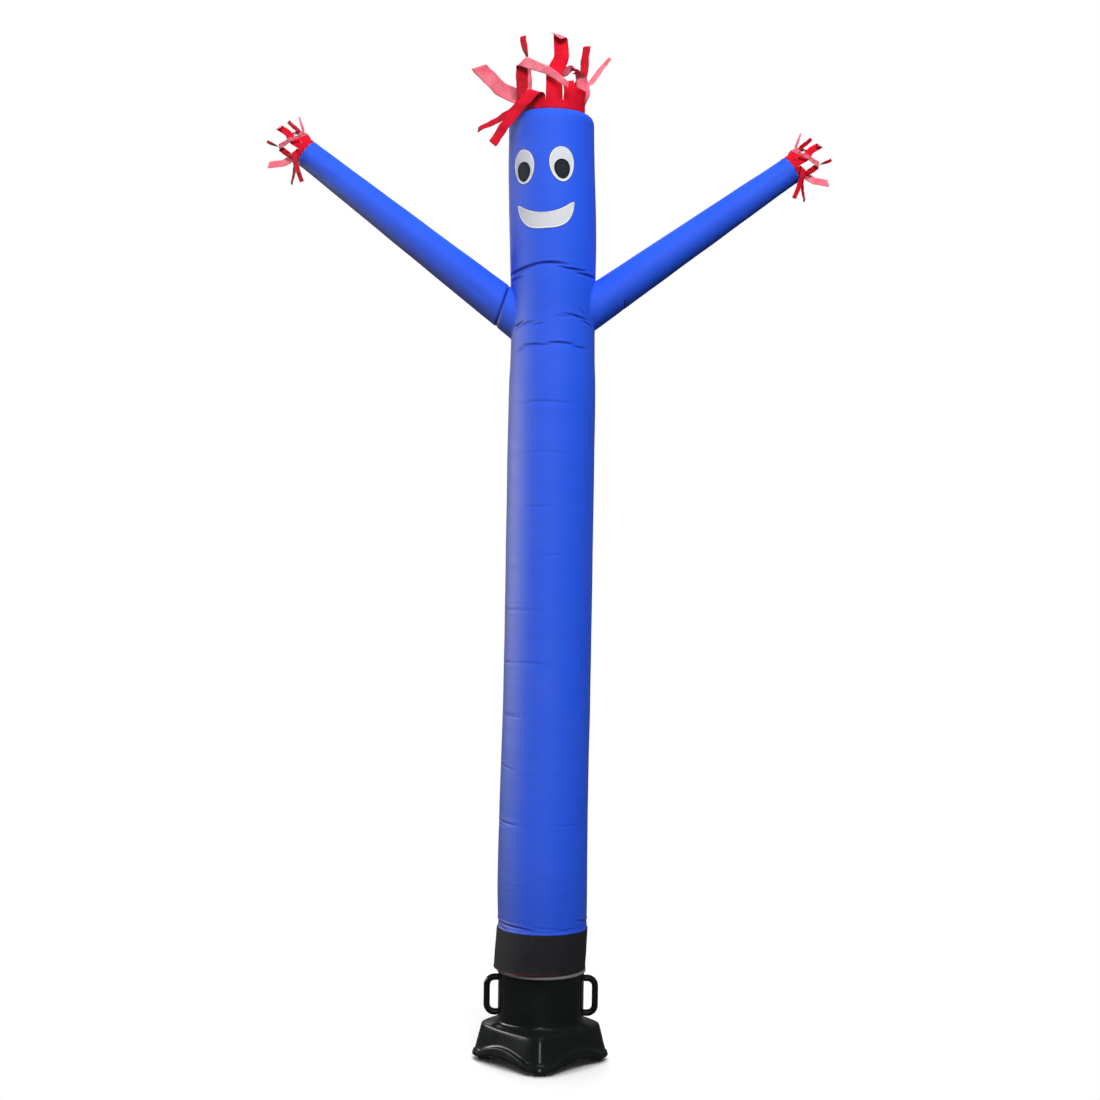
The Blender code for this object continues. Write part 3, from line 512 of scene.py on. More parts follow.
tube_fold_shades = []
tube_rows = [[tube_point(360.0 * k / TUBE_COLUMNS, height, 0.0, tube_fold_shades) for k in range(TUBE_COLUMNS)]
             for height in tube_heights()]
crown = TUBE_SECTIONS[-1]
for radius, height in CROWN:
    gathered = (crown.radius - radius) / (crown.radius - VENT_RADIUS)
    row = []
    for k in range(TUBE_COLUMNS):
        turn = 2 * math.pi * k / TUBE_COLUMNS
        pucker = PUCKER_DEPTH * math.sin(PUCKERS * turn + 2.0 * math.sin(3 * turn)) * gathered ** 2
        row.append(ring_point(turn, radius + pucker, height, crown.shift))
        tube_fold_shades.append(0.0)
    tube_rows.append(row)
# the fold mark carries the painted shade of each crease
tube_mesh = sheet_mesh("body_tube_cloth", tube_rows, {"fold": tube_fold_shades},
                       cloth=lambda r, k: (WEAVE_ROUND_TUBE * k / TUBE_COLUMNS, tube_rows[r][0].z))


# Arms
# Two tapered sleeves of the same nylon, open to the tube at their roots. The left one is sewn to a
# short outlet of the tube in a straight seam; the right one is sewn straight onto the tube's side.
Arm = namedtuple("Arm", "side outward root_x root_z rise length cloth")
ARMS = (
    Arm("left", -1.0, -0.1661, 2.6080, 37.1, 0.8627, 0.344),
    Arm("right", 1.0, 0.1408, 2.6039, 35.5, 0.8458, 0.314),
)
ARM_ROOT_RADIUS = 0.0700
ARM_TIP_RADIUS = 0.0474
ARM_COLUMNS = 72
ARM_ROWS = 150
ROOT_SEARCH = (-0.10, 0.12)   # along the sleeve, where it may leave the tube
ROOT_TUCK = 0.0022            # the root starts this far under the tube's cloth
ROOT_TUCK_REACH = 0.004
ROOT_LIFT = 0.0005
FILLET_SIDE = (0.003, 0.014)  # how far the root spreads on the tube: above and below, front and back
FILLET_ARM = (0.004, 0.040)
FILLET_ROWS = 10
OUTLET_SHARE = 0.8            # the left root is this much of a whole one, being on a short outlet
SEAM_TOP = Vector((-0.1412, 0.0, 2.6776))
SEAM_FOOT = Vector((-0.1876, 0.0, 2.5383))
SEAM_PINCH = 0.0040           # how far the cloth pulls in at the arm's seam
PINCH_REACH = 0.005
ROOT_SHADE = 0.55              # share of a fold's painted shade at the root, the seam and a nick
SEAM_SHADE = 0.9
NICK_SHADE = 0.8
OUTLET_CROWDING = 1.6         # rows crowd towards the seam
ROW_CROWDING = 1.5
SLEEVE_HEM = 0.0012           # the rolled end of the sleeve
SLEEVE_HEM_WIDTH = 0.010
SLEEVE_HEM_REACH = 0.006
SLEEVE_RIPPLE = 0.0009
BORE_MARGIN = 0.006           # the tube's cloth is cut away this far inside the sleeve
WEAVE_ROUND_SLEEVE = 0.40


def arm_frame(arm):
    """Origin at the arm's root, +Z along the arm and +Y level."""
    rise = math.radians(arm.rise)
    along = Vector((arm.outward * math.cos(rise), 0.0, math.sin(rise)))
    level = Vector((0.0, 1.0, 0.0))
    matrix = Matrix((level.cross(along), level, along)).transposed().to_4x4()
    matrix.translation = (arm.root_x, 0.0, arm.root_z)
    return matrix


def sleeve_radius(arm, along):
    return ARM_ROOT_RADIUS + (ARM_TIP_RADIUS - ARM_ROOT_RADIUS) * along / arm.length


def sleeve_point(arm, turn, along, outset=0.0):
    radius = sleeve_radius(arm, along) + outset
    return arm_frame(arm) @ Vector((radius * math.cos(turn), radius * math.sin(turn), along))


def tube_place(point):
    """Azimuth and row height of the tube's cloth beside a point."""
    height = point.z
    for _ in range(4):
        shift, radius, lift = section_at(height)
        azimuth = math.atan2(point.x - shift, -point.y)
        height = point.z - lift * max(0.0, math.cos(azimuth))
    away = math.hypot(point.x - shift, point.y) - radius
    return math.degrees(azimuth), height, away


def root_start(arm, turn):
    """Where a line along the sleeve leaves the tube."""
    low, high = ROOT_SEARCH
    for _ in range(30):
        middle = (low + high) / 2
        if tube_place(sleeve_point(arm, turn, middle))[2] > 0.0:
            high = middle
        else:
            low = middle
    return (low + high) / 2


def seam_start(arm, turn):
    """Where a line along the sleeve meets the seam's plane."""
    outward = Vector((0.0, 1.0, 0.0)).cross(SEAM_TOP - SEAM_FOOT).normalized()
    first, second = ((sleeve_point(arm, turn, along) - SEAM_TOP).dot(outward) for along in (0.0, 0.1))
    return 0.1 * first / (first - second)


def root_column(arm, turn):
    """Points from under the tube's cloth, over the rounded root, to the start of the sleeve."""
    start = root_start(arm, turn)
    corner = sleeve_point(arm, turn, start)
    azimuth, height, _ = tube_place(corner)
    radius = section_at(height)[1]
    side = Vector((math.radians(azimuth - 90.0 * arm.outward) * radius, height - arm.root_z)).normalized()
    front = math.sin(turn) ** 2
    spread = FILLET_SIDE[0] + (FILLET_SIDE[1] - FILLET_SIDE[0]) * front
    reach = FILLET_ARM[0] + (FILLET_ARM[1] - FILLET_ARM[0]) * front
    if arm.side == "left":
        reach = min(reach, OUTLET_SHARE * (seam_start(arm, turn) - start))
        spread *= OUTLET_SHARE

    def on_tube(distance, outset):
        return tube_point(azimuth + math.degrees(side.x * distance / radius),
                          height + side.y * distance, outset)

    foot, end = on_tube(spread, ROOT_LIFT), sleeve_point(arm, turn, start + reach)
    column = [on_tube(spread + ROOT_TUCK_REACH, -ROOT_TUCK)]
    for part in (0.0, *steps(0.0, 1.0, FILLET_ROWS)):
        column.append(foot * (1 - part) ** 2 + corner * 2 * part * (1 - part) + end * part ** 2)
    return column, start + reach


blue_sleeve = nylon("blue_sleeve_nylon", (0.018, 0.103, 0.870))

# A soft wrinkle runs along a sleeve at one turn round it, from start to end
Wrinkle = namedtuple("Wrinkle", "arm turn start end depth width")
WRINKLES = (
    Wrinkle("left", -62, 0.020, 0.110, 0.0030, 0.008),
    Wrinkle("left", -108, 0.030, 0.160, 0.0022, 0.010),
    Wrinkle("left", -75, 0.740, 0.860, 0.0016, 0.009),
    Wrinkle("right", -120, 0.050, 0.170, 0.0030, 0.009),
    Wrinkle("right", -140, 0.040, 0.120, 0.0026, 0.008),
    Wrinkle("right", -85, 0.720, 0.840, 0.0016, 0.009),
)

# A nick runs across a sleeve, through places of (turn, along)
Nick = namedtuple("Nick", "arm depth width places")
NICKS = (
    Nick("right", 0.0044, 0.0046, ((-52, 0.1110), (-30, 0.1020), (-8, 0.0920), (12, 0.0850))),
)


def sleeve_nick(arm, turn, along):
    """How deep a place on the sleeve is in a nick across it, and the nick's full depth there."""
    for nick in NICKS:
        middle, share = crease_height(nick.places, math.degrees(turn))
        if nick.arm == arm.side and share > 0.0:
            return share * math.exp(-((along - middle) / nick.width) ** 2), nick.depth
    return 0.0, 0.0


def sleeve_dent(arm, turn, along):
    share, depth = sleeve_nick(arm, turn, along)
    dent = share * depth
    for wrinkle in WRINKLES:
        if wrinkle.arm != arm.side or not wrinkle.start < along < wrinkle.end:
            continue
        part = (along - wrinkle.start) / (wrinkle.end - wrinkle.start)
        off = math.radians(half_turned(math.degrees(turn) - wrinkle.turn))
        across = off * sleeve_radius(arm, along) / wrinkle.width
        dent += wrinkle.depth * math.sin(math.pi * part) * math.exp(-across * across)
    ripple = noise.noise(Vector((math.cos(turn) * 1.3, math.sin(turn) * 1.3,
                                 along * 9.0 + arm.root_x * 40)))
    return dent + SLEEVE_RIPPLE * ripple


def arm_bore(arm, point):
    local = arm_frame(arm).inverted() @ point
    inside = math.hypot(local.x, local.y) < sleeve_radius(arm, local.z) - BORE_MARGIN
    return inside and ROOT_SEARCH[0] < local.z < ROOT_SEARCH[1]


def sleeve_column(arm, turn):
    """Points from the root to the sleeve's end at one turn, and how much painted shade the cloth has at
    each.
    """
    column, start = root_column(arm, turn)
    # painted shade where the root tucks under the tube, in the seam's pinched groove and in the nick
    dark = [ROOT_SHADE * math.exp(-(k / 2.0) ** 2) for k in range(len(column))]
    seam = seam_start(arm, turn) if arm.side == "left" else None

    def add_row(along, hem=0.0):
        pinch = math.exp(-((along - seam) / PINCH_REACH) ** 2) if seam is not None else 0.0
        column.append(sleeve_point(arm, turn, along,
                                   hem - SEAM_PINCH * pinch - sleeve_dent(arm, turn, along)))
        dark.append(max(SEAM_SHADE * pinch, NICK_SHADE * sleeve_nick(arm, turn, along)[0]))

    if seam is not None:
        for k in range(1, FILLET_ROWS + 1):
            add_row(seam - (seam - start) * (1.0 - k / FILLET_ROWS) ** OUTLET_CROWDING)
        start = seam
    for k in range(1, ARM_ROWS + 1):
        along = start + (arm.length - start) * (k / ARM_ROWS) ** ROW_CROWDING
        from_hem = (arm.length - along - SLEEVE_HEM_WIDTH) / SLEEVE_HEM_REACH
        add_row(along, SLEEVE_HEM * math.exp(-from_hem ** 2))
    return column, dark


for arm in ARMS:
    columns = [sleeve_column(arm, 2 * math.pi * k / ARM_COLUMNS) for k in range(ARM_COLUMNS)]
    rows = list(zip(*(column for column, _ in columns)))
    darks = zip(*(dark for _, dark in columns))
    lengths = [(row[0] - rows[0][0]).length for row in rows]
    # the fold mark carries the sleeve's painted shade
    mesh = sheet_mesh("arm_%s_cloth" % arm.side, rows, {"fold": [dark for row in darks for dark in row]},
                      cloth=lambda r, k: (WEAVE_ROUND_SLEEVE * k / ARM_COLUMNS, lengths[r]))
    drop_faces(tube_mesh, lambda point: arm_bore(arm, point))
    sleeve = add_piece("arm_%s_cloth" % arm.side, mesh, [blue_sleeve], NYLON)
    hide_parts("arm_" + arm.side)

# The tube is finished here, because its cloth is cut away where the sleeves open into it
tube = add_piece("body_tube_cloth", tube_mesh, [blue_nylon], NYLON)
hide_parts("body_tube")


# Cuff
# A band of coarse black cloth sewn to the tube's bottom hem. It slips over the blower's collar,
# and its lower edge is turned up over a thin dark red binding.
CUFF_TOP = 0.4594
CUFF_BOTTOM = 0.322
CUFF_HEIGHT = CUFF_TOP - CUFF_BOTTOM
CUFF_RADIUS = (0.1572, 0.1584)         # at its top and bottom
CUFF_LEAN = (0.0015, -0.0062)
CUFF_BULGE = 0.0008
CUFF_RIPPLE = 0.0012
GATHERS = 23                           # along the seam with the tube
GATHER_DEPTH = 0.0006
CUFF_HEM = 0.0011
CUFF_HEM_REACH = 0.0045
CUFF_COLUMNS = 144
CUFF_ROWS = 44
CUFF_CLOTH = 0.0014
CUFF_ROUND = 0.99
BINDING_WIDTH = 0.0035
BINDING_AZIMUTH = -45.0                # the binding shows at the left front only
BINDING_HALF = 58.0
BINDING_FADE = 20.0


def cuff_point(azimuth, part):
    turn = math.radians(azimuth)
    height = CUFF_TOP - CUFF_HEIGHT * part
    swell = math.sin(math.pi * part)
    ripple = noise.noise(Vector((3.0 * math.sin(turn), 3.0 * math.cos(turn), height * 16.0)))
    gather = math.sin(GATHERS * turn + 2.0 * math.sin(5 * turn)) * math.exp(-part * 7.0)
    hem = math.exp(-((1.0 - part) * CUFF_HEIGHT / CUFF_HEM_REACH) ** 2)
    radius = (CUFF_RADIUS[0] + (CUFF_RADIUS[1] - CUFF_RADIUS[0]) * part
              + (CUFF_BULGE + CUFF_RIPPLE * ripple) * swell + GATHER_DEPTH * gather + CUFF_HEM * hem)
    return ring_point(turn, radius, height, CUFF_LEAN[0] + (CUFF_LEAN[1] - CUFF_LEAN[0]) * part)


def binding_shown(azimuth, part):
    """1 on the binding, fading to 0 where the cuff's hem covers it."""
    if CUFF_HEIGHT * (1.0 - part) >= BINDING_WIDTH:
        return 0.0
    off = abs(half_turned(azimuth - BINDING_AZIMUTH))
    return 1.0 - smooth_step((off - BINDING_HALF) / BINDING_FADE)


SOFT_BLACK = (0.0135, 0.0122, 0.0150)
RUBBED_BLACK = (0.0200, 0.0180, 0.0220)
THREAD_BLACK = (0.038, 0.034, 0.042)
BINDING_RED = (0.085, 0.012, 0.020)
shader = Shader("black_cuff_cloth", 0.80, 0.05, Sheen_Weight=0.01, Sheen_Roughness=0.5)
flat = shader.flat()
coarse = shader.noise(shader.stretched(flat, (60.0, 700.0, 1.0)), 1.0, 3.0)
worn = shader.noise(flat, 28.0, 4.0)
tone = shader.mixed(shader.spread(worn, 0.3, 0.75), SOFT_BLACK, RUBBED_BLACK)
tone = shader.mixed(shader.spread(coarse, 0.4, 0.8, 0.0, 0.5), tone, THREAD_BLACK)
tone = shader.mixed(shader.mark("binding"), tone, BINDING_RED)
normal = shader.bump(shader.bands(flat, "Y", 110.0, 0.6), 0.35, 0.0005)
normal = shader.bump(coarse, 0.35, 0.0010, normal)
black_cuff_cloth = shader.finish(tone, shader.spread(worn, 0.2, 0.8, 0.62, 0.82), normal)

places = [[(360.0 * k / CUFF_COLUMNS, r / CUFF_ROWS) for k in range(CUFF_COLUMNS)]
          for r in range(CUFF_ROWS + 1)]
mesh = sheet_mesh("cuff_cloth", [[cuff_point(*place) for place in row] for row in places],
                  {"binding": [binding_shown(*place) for row in places for place in row]},
                  cloth=lambda r, k: (CUFF_ROUND * k / CUFF_COLUMNS, CUFF_HEIGHT * r / CUFF_ROWS))
cuff = add_piece("cuff_cloth", mesh, [black_cuff_cloth], CUFF_CLOTH, offset=1.0)
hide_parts("cuff")


# Face patches
# Satin cloth patches sewn flat onto the head: two white ovals with dark pupils on them and a white
# smile. Each has a dense overcast stitch round its edge, a little proud of the cloth.
FACE_AZIMUTH = -12.1
FACE_TILT = 2.6
EYE_HEIGHT = 3.0695
EYE_SPREAD = 0.0695
EYE_HALF = (0.0430, 0.0592)
EYE_NARROWING = 0.10
PUPIL_HALF = (0.0270, 0.0335)
PUPIL_DROP = 0.0160
MOUTH_HEIGHT = 2.9390
MOUTH_HALF = 0.1060
MOUTH_UPPER_SAG = 0.0420
MOUTH_LOWER_SAG = 0.0950
MOUTH_TIP = 0.010
MOUTH_TIP_POWER = 10
MOUTH_LOWER_POWERS = (3, 0.64)
PATCH_CLOTH = 0.0006
PATCH_LIFT = 0.0009
STITCH_WIDTH = 0.0042
STITCH_RISE = 0.0008
STITCH_GROOVE = 0.0014        # the line of drawn-in cloth round a patch, painted dark as shade
PATCH_RINGS = 5
MOUTH_SPINE = 0.93            # how much of the mouth's half width its middle line covers
EGG_SIDES = 72
MOUTH_COLUMNS = 60
PUPIL_LIFT = 0.0010           # the pupil lies on the white's own cloth
THREAD_RING = 0.001
WELD = 0.00001
PATCH_ROUGHNESS = 0.5
GROOVE_SHADE_BLUE = (0.006, 0.012, 0.090)


def face_point(along, height, outset):
    """A point over the head, from an arc length and a height on the face."""
    tilt = math.radians(FACE_TILT)
    centre = (EYE_HEIGHT + MOUTH_HEIGHT) / 2
    up = height - centre
    turned_along = along * math.cos(tilt) - up * math.sin(tilt)
    turned_height = centre + along * math.sin(tilt) + up * math.cos(tilt)
    radius = section_at(turned_height)[1]
    return tube_point(FACE_AZIMUTH + math.degrees(turned_along / radius), turned_height, outset)


def join_points(mesh, front=None):
    """Join points that lie on each other and turn all faces outwards, or towards the front."""
    bm = bmesh.new()
    bm.from_mesh(mesh)
    bmesh.ops.remove_doubles(bm, verts=bm.verts, dist=WELD)
    bmesh.ops.recalc_face_normals(bm, faces=bm.faces)
    if front and sum(face.normal.dot(front) * face.calc_area() for face in bm.faces) < 0.0:
        bmesh.ops.reverse_faces(bm, faces=bm.faces)
    bm.to_mesh(mesh)
    bm.free()


def patch_mesh(name, outline, spine, lift):
    """A patch with a stitched edge. outline and spine are paired points (along, height): the edge
    and the middle line that the patch's rings shrink to."""
    count = len(outline)
    # (distance in from the edge, outset, stitched); a stitched of -1 marks the drawn-in groove, painted
    # with shade
    profile = ((-STITCH_GROOVE, -lift * 0.7, -1.0), (-0.0002, -lift * 0.5, -1.0),
               (0.0, STITCH_RISE * 0.2, 1.0), (0.0003, STITCH_RISE * 0.35, 1.0),
               (STITCH_WIDTH * 0.25, STITCH_RISE * 0.85, 1.0), (STITCH_WIDTH * 0.5, STITCH_RISE, 1.0),
               (STITCH_WIDTH * 0.8, STITCH_RISE * 0.75, 1.0), (STITCH_WIDTH, 0.0, 0.6),
               (STITCH_WIDTH * 1.25, -0.0002, 0.0), (STITCH_WIDTH * 1.6, 0.0, 0.0))
    travelled = [0.0]
    for k in range(count):
        travelled.append(travelled[-1] + math.dist(outline[k], outline[(k + 1) % count]))
    rows, cloth, stitched = [], [], []
    for ring in range(len(profile) + PATCH_RINGS):
        row, flat_row = [], []
        for edge, middle in zip(outline, spine):
            reach = math.dist(edge, middle)
            inner = profile[-1][0] / reach
            if ring < len(profile):
                inward, outset, mark = profile[ring]
                part = inward / reach
            else:
                outset = mark = 0.0
                part = inner + (1.0 - inner) * (ring - len(profile) + 1) / PATCH_RINGS
            place = tuple(e + (m - e) * part for e, m in zip(edge, middle))
            flat_row.append(place)
            row.append(face_point(*place, lift + outset))
            stitched.append(mark)
        rows.append(row)
        cloth.append(flat_row)
    mesh = sheet_mesh(name, rows, {"stitched": stitched}, cloth=lambda r, k: cloth[r][k % count],
                      thread=lambda r, k: (travelled[k], r * THREAD_RING))
    join_points(mesh, ring_point(math.radians(FACE_AZIMUTH), 1.0, 0.0))
    return mesh


def patch_cloth(name, colour, shade_colour, thread_colour):
    shader = Shader(name, PATCH_ROUGHNESS, 0.04)
    flat = shader.flat()
    cloudy = shader.noise(flat, 60.0, 3.0)
    grain = shader.noise(shader.stretched(flat, (900.0, 240.0, 1.0)), 1.0, 2.0)
    # painted shade in the drawn-in groove round the patch
    groove = shader.sums("LESS_THAN", shader.mark("stitched"), -0.3)
    tone = shader.mixed(shader.spread(cloudy, 0.3, 0.7), colour, shade_colour)
    tone = shader.mixed(shader.mark("stitched"), tone, thread_colour)
    tone = shader.mixed(groove, tone, GROOVE_SHADE_BLUE)
    threads = shader.bands(shader.flat("thread"), "X", 240.0, 0.4)
    stitches = shader.sums("MULTIPLY", threads, shader.mark("stitched"))
    normal = shader.bump(grain, 0.18, 0.0004)
    normal = shader.bump(stitches, 0.5, 0.0006, normal)
    rough = shader.spread(grain, 0.2, 0.8, PATCH_ROUGHNESS - 0.06, PATCH_ROUGHNESS + 0.08)
    return shader.finish(tone, rough, normal)


white_patch = patch_cloth("white_patch_cloth", (0.69, 0.74, 0.80), (0.76, 0.76, 0.79), (0.97, 0.96, 0.92))
dark_patch = patch_cloth("dark_patch_cloth", (0.016, 0.021, 0.029), (0.024, 0.029, 0.038),
                         (0.009, 0.009, 0.015))


def egg_outline(along, height, half):
    points = []
    for k in range(EGG_SIDES):
        turn = 2 * math.pi * k / EGG_SIDES
        narrow = 1.0 + EYE_NARROWING * math.sin(turn)
        points.append((along + half[0] * math.cos(turn) * narrow, height + half[1] * math.sin(turn)))
    return points, [(along, height)] * EGG_SIDES


def smile_edges(place):
    """Heights of the mouth's upper and lower edges, from its left tip at -1 to its right at 1."""
    tip = MOUTH_TIP * math.sqrt(max(0.0, 1.0 - place ** MOUTH_TIP_POWER))
    rise = tip - MOUTH_UPPER_SAG * (1.0 - place ** 2)
    fall = -MOUTH_LOWER_SAG * (1.0 - abs(place) ** MOUTH_LOWER_POWERS[0]) ** MOUTH_LOWER_POWERS[1]
    return MOUTH_HEIGHT + rise, MOUTH_HEIGHT + fall


def smile_outline():
    """Along the upper edge from the right tip to the left one, and back along the lower edge."""
    upper, lower, spine = [], [], []
    for k in range(MOUTH_COLUMNS + 1):
        place = math.cos(math.pi * k / MOUTH_COLUMNS)
        for edge, height in zip((upper, lower), smile_edges(place)):
            edge.append((MOUTH_HALF * place, height))
        inner = MOUTH_SPINE * place
        spine.append((MOUTH_HALF * inner, sum(smile_edges(inner)) / 2))
    return upper + lower[-2:0:-1], spine + spine[-2:0:-1]


Patch = namedtuple("Patch", "node outline lift material slot flat area on")
WHITE = (white_patch, "white_patch_cloth")
DARK = (dark_patch, "dark_patch_cloth")
PATCHES = [Patch("mouth", smile_outline(), PATCH_LIFT, *WHITE, (0.218, 0.104), 0.0122, "body_tube")]
for side, along in (("left", -EYE_SPREAD), ("right", EYE_SPREAD)):
    eye = "eye_white_" + side
    PATCHES += [
        Patch(eye, egg_outline(along, EYE_HEIGHT, EYE_HALF), PATCH_LIFT, *WHITE,
              (0.093, 0.124), 0.0088, "body_tube"),
        Patch("pupil_" + side, egg_outline(along, EYE_HEIGHT - PUPIL_DROP, PUPIL_HALF),
              PATCH_LIFT + PUPIL_LIFT, *DARK, (0.060, 0.073), 0.00344, eye)]
for patch in PATCHES:
    mesh = patch_mesh(patch.node + "_patch", *patch.outline, patch.lift)
    piece = add_piece(patch.node + "_patch", mesh, [patch.material], PATCH_CLOTH)
    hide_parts(patch.node)


# Strip fringes
# Bands of thin red nylon sewn round the open top of the head and the open ends of the arms, each
# cut into loose strips that the leaving air lifts and folds over. The reverse side is paler.
RING_RADIUS = 0.1148
RING_HEIGHT = 0.032
RING_ROWS = 4
RING_GATHERS = 19
RING_SWELL = 0.0012
HAND_SCALE = 0.415
HAND_GROWTH = 1.14
STRIP_CLOTH = 0.0007
THINNEST_STRIP = 0.6          # least share of that thickness on the hands
ROOTED = 0.06                 # up to here a strip is rounded with the ring
LOOSE = 0.05                  # and from here on it ripples
RIPPLE_LARGE = 0.0022
RIPPLE_SMALL = 0.0012
CUP = 1.6
FRAY = 0.0009
GROWN = 0.07                  # a hand's strips have all of their growth from here on
STRIP_COLUMNS = 8
STRIP_STEP = 0.0042
FRONTS = {"pale": 0, "red": 2}    # which cloth is a strip's front; the next one is its reverse
Strip = namedtuple("Strip", "name azimuth length root_width tip_width tip_slant reverse")
STRIPS = (
    Strip("folded_over", -65, 0.365, 0.054, 0.018, -30, "pale"),
    Strip("narrow_front", -42.5, 0.250, 0.042, 0.018, 20, "red"),
    Strip("draped_front", -22, 0.278, 0.044, 0.034, 10, "red"),
    Strip("tall_centre", 4, 0.278, 0.058, 0.048, 0, "pale"),
    Strip("short_centre", 34, 0.075, 0.056, 0.050, 12, "pale"),
    Strip("short_right", 62, 0.048, 0.054, 0.048, -14, "pale"),
    Strip("curled_right", 90, 0.222, 0.052, 0.026, 0, "pale"),
    Strip("blown_right", 118, 0.240, 0.034, 0.012, 0, "pale"),
    Strip("upright_right", 148, 0.260, 0.044, 0.030, 8, "red"),
    Strip("draped_back", 184, 0.240, 0.048, 0.036, 0, "red"),
    Strip("waving_left", 223, 0.296, 0.036, 0.025, 0, "pale"),
    Strip("blown_left", 262, 0.204, 0.054, 0.054, 26, "pale"),
)
# A bend turns the strip outwards about a line that slants up to the strip's right, a sway
# turns its heading to the right in its own plane, and a turn twists it about its length.
Fold = namedtuple("Fold", "kind start over degrees slant", defaults=(0,))
FOLDS = {
    "folded_over": [
        Fold("turn", 0.000, 0.090, 44), Fold("bend", 0.125, 0.030, 172, 33),
        Fold("sway", 0.240, 0.060, -14)],
    "narrow_front": [Fold("bend", 0.002, 0.036, 166, -17), Fold("sway", 0.075, 0.045, -38)],
    "draped_front": [Fold("bend", 0.008, 0.045, 165, -19), Fold("sway", 0.120, 0.080, 8)],
    "tall_centre": [
        Fold("bend", 0.000, 0.050, -22), Fold("sway", 0.090, 0.030, 25), Fold("sway", 0.155, 0.030, -27),
        Fold("bend", 0.230, 0.036, 150, -26)],
    "short_centre": [Fold("bend", 0.000, 0.050, -20)],
    "short_right": [Fold("turn", 0.000, 0.060, -20), Fold("sway", 0.020, 0.060, -14)],
    "curled_right": [
        Fold("turn", 0.000, 0.050, 72), Fold("sway", 0.010, 0.040, 12),
        Fold("bend", 0.106, 0.040, -165, 42), Fold("turn", 0.128, 0.030, 160)],
    "blown_right": [Fold("bend", 0.030, 0.050, 38), Fold("turn", 0.080, 0.080, 62)],
    "upright_right": [
        Fold("bend", 0.000, 0.060, 14), Fold("sway", 0.010, 0.040, -19), Fold("sway", 0.130, 0.050, 22)],
    "draped_back": [Fold("bend", 0.010, 0.060, 150, 6)],
    "waving_left": [
        Fold("bend", 0.000, 0.050, 13), Fold("sway", 0.020, 0.040, -9), Fold("sway", 0.200, 0.040, 30),
        Fold("sway", 0.250, 0.040, -44), Fold("turn", 0.140, 0.130, 105)],
    "blown_left": [
        Fold("turn", 0.000, 0.036, -62), Fold("sway", 0.000, 0.060, 72), Fold("sway", 0.080, 0.040, -24)],
}


def strip_swell(strip, right, up):
    """How far a strip stands out of its flat shape: round at its root, rippled further up."""
    rooted = 1.0 - smooth_step(up / ROOTED)
    loose = smooth_step(up / LOOSE)
    phase = strip.azimuth * 0.37
    ripple = (RIPPLE_LARGE * math.sin(up * 62.0 + phase)
              + RIPPLE_SMALL * math.sin(up * 131.0 + 2.0 * phase + right * 60.0))
    cup = CUP * right * right * math.sin(up * 23.0 + phase)
    return -rooted * right * right / (2 * RING_RADIUS) + loose * (ripple + cup)


def folded(points, swells, folds):
    """Move flat points (right, up) of a strip through its folds, from its tip to its root."""
    placed = [Vector((right, up, swell)) for (right, up), swell in zip(points, swells)]
    for fold in reversed(folds):
        full = math.radians(fold.degrees)
        slant = math.radians(fold.slant) if fold.kind == "bend" else 0.0
        if fold.kind == "sway":
            line, ahead, out = Vector((0, 0, 1)), Vector((0, 1, 0)), Vector((1, 0, 0))
        else:
            line = Vector((math.cos(slant), math.sin(slant), 0))
            ahead = Vector((-math.sin(slant), math.cos(slant), 0))
            out = Vector((0, 0, 1))
        start = Vector((0.0, fold.start, 0.0))
        for index, (right, up) in enumerate(points):
            reach = (Vector((right, up, 0.0)) - start).dot(ahead)
            if reach <= 0.0:
                continue
            angle = full * min(reach / fold.over, 1.0)
            offset = placed[index] - start
            if fold.kind == "turn":
                placed[index] = start + Matrix.Rotation(angle, 3, "Y") @ offset
                continue
            rest = offset.dot(ahead) - fold.over if reach >= fold.over else 0.0
            bend_radius = fold.over / full
            height = offset.dot(out)
            placed[index] = (
                start + line * offset.dot(line)
                + ahead * (bend_radius * math.sin(angle) + rest * math.cos(angle)
                           - height * math.sin(angle))
                + out * (bend_radius * (1.0 - math.cos(angle)) + rest * math.sin(angle)
                         + height * math.cos(angle)))
    return placed


def strip_rows(strip, growth):
    """Rows of (place, flat place) along a folded strip, on the ring at its azimuth. growth is how
    much larger its loose part is than the head's."""
    count = max(4, round(strip.length / STRIP_STEP))
    tip = math.tan(math.radians(strip.tip_slant))
    flat = []
    for r in range(count + 1):
        part = r / count
        half = (strip.root_width + (strip.tip_width - strip.root_width) * part) / 2
        fray = FRAY * noise.noise(Vector((part * strip.length * 55.0, strip.azimuth, 0.0)))
        for k in range(STRIP_COLUMNS + 1):
            right = half * (2.0 * k / STRIP_COLUMNS - 1.0) + fray
            flat.append((right, part * (strip.length + right * tip)))
    swells = [strip_swell(strip, right, up) for right, up in flat]
    turn = math.radians(strip.azimuth)
    across = Vector((math.cos(turn), math.sin(turn), 0.0))
    outward = ring_point(turn, 1.0, 0.0)
    root = outward * RING_RADIUS + Vector((0.0, 0.0, RING_HEIGHT))
    points = []
    for (_, up), offset in zip(flat, folded(flat, swells, FOLDS[strip.name])):
        offset = offset * (1.0 + (growth - 1.0) * smooth_step(up / GROWN))
        points.append(root + across * offset.x + Vector((0.0, 0.0, offset.y)) + outward * offset.z)
    width = STRIP_COLUMNS + 1
    return [list(zip(points[k:k + width], flat[k:k + width])) for k in range(0, len(points), width)]


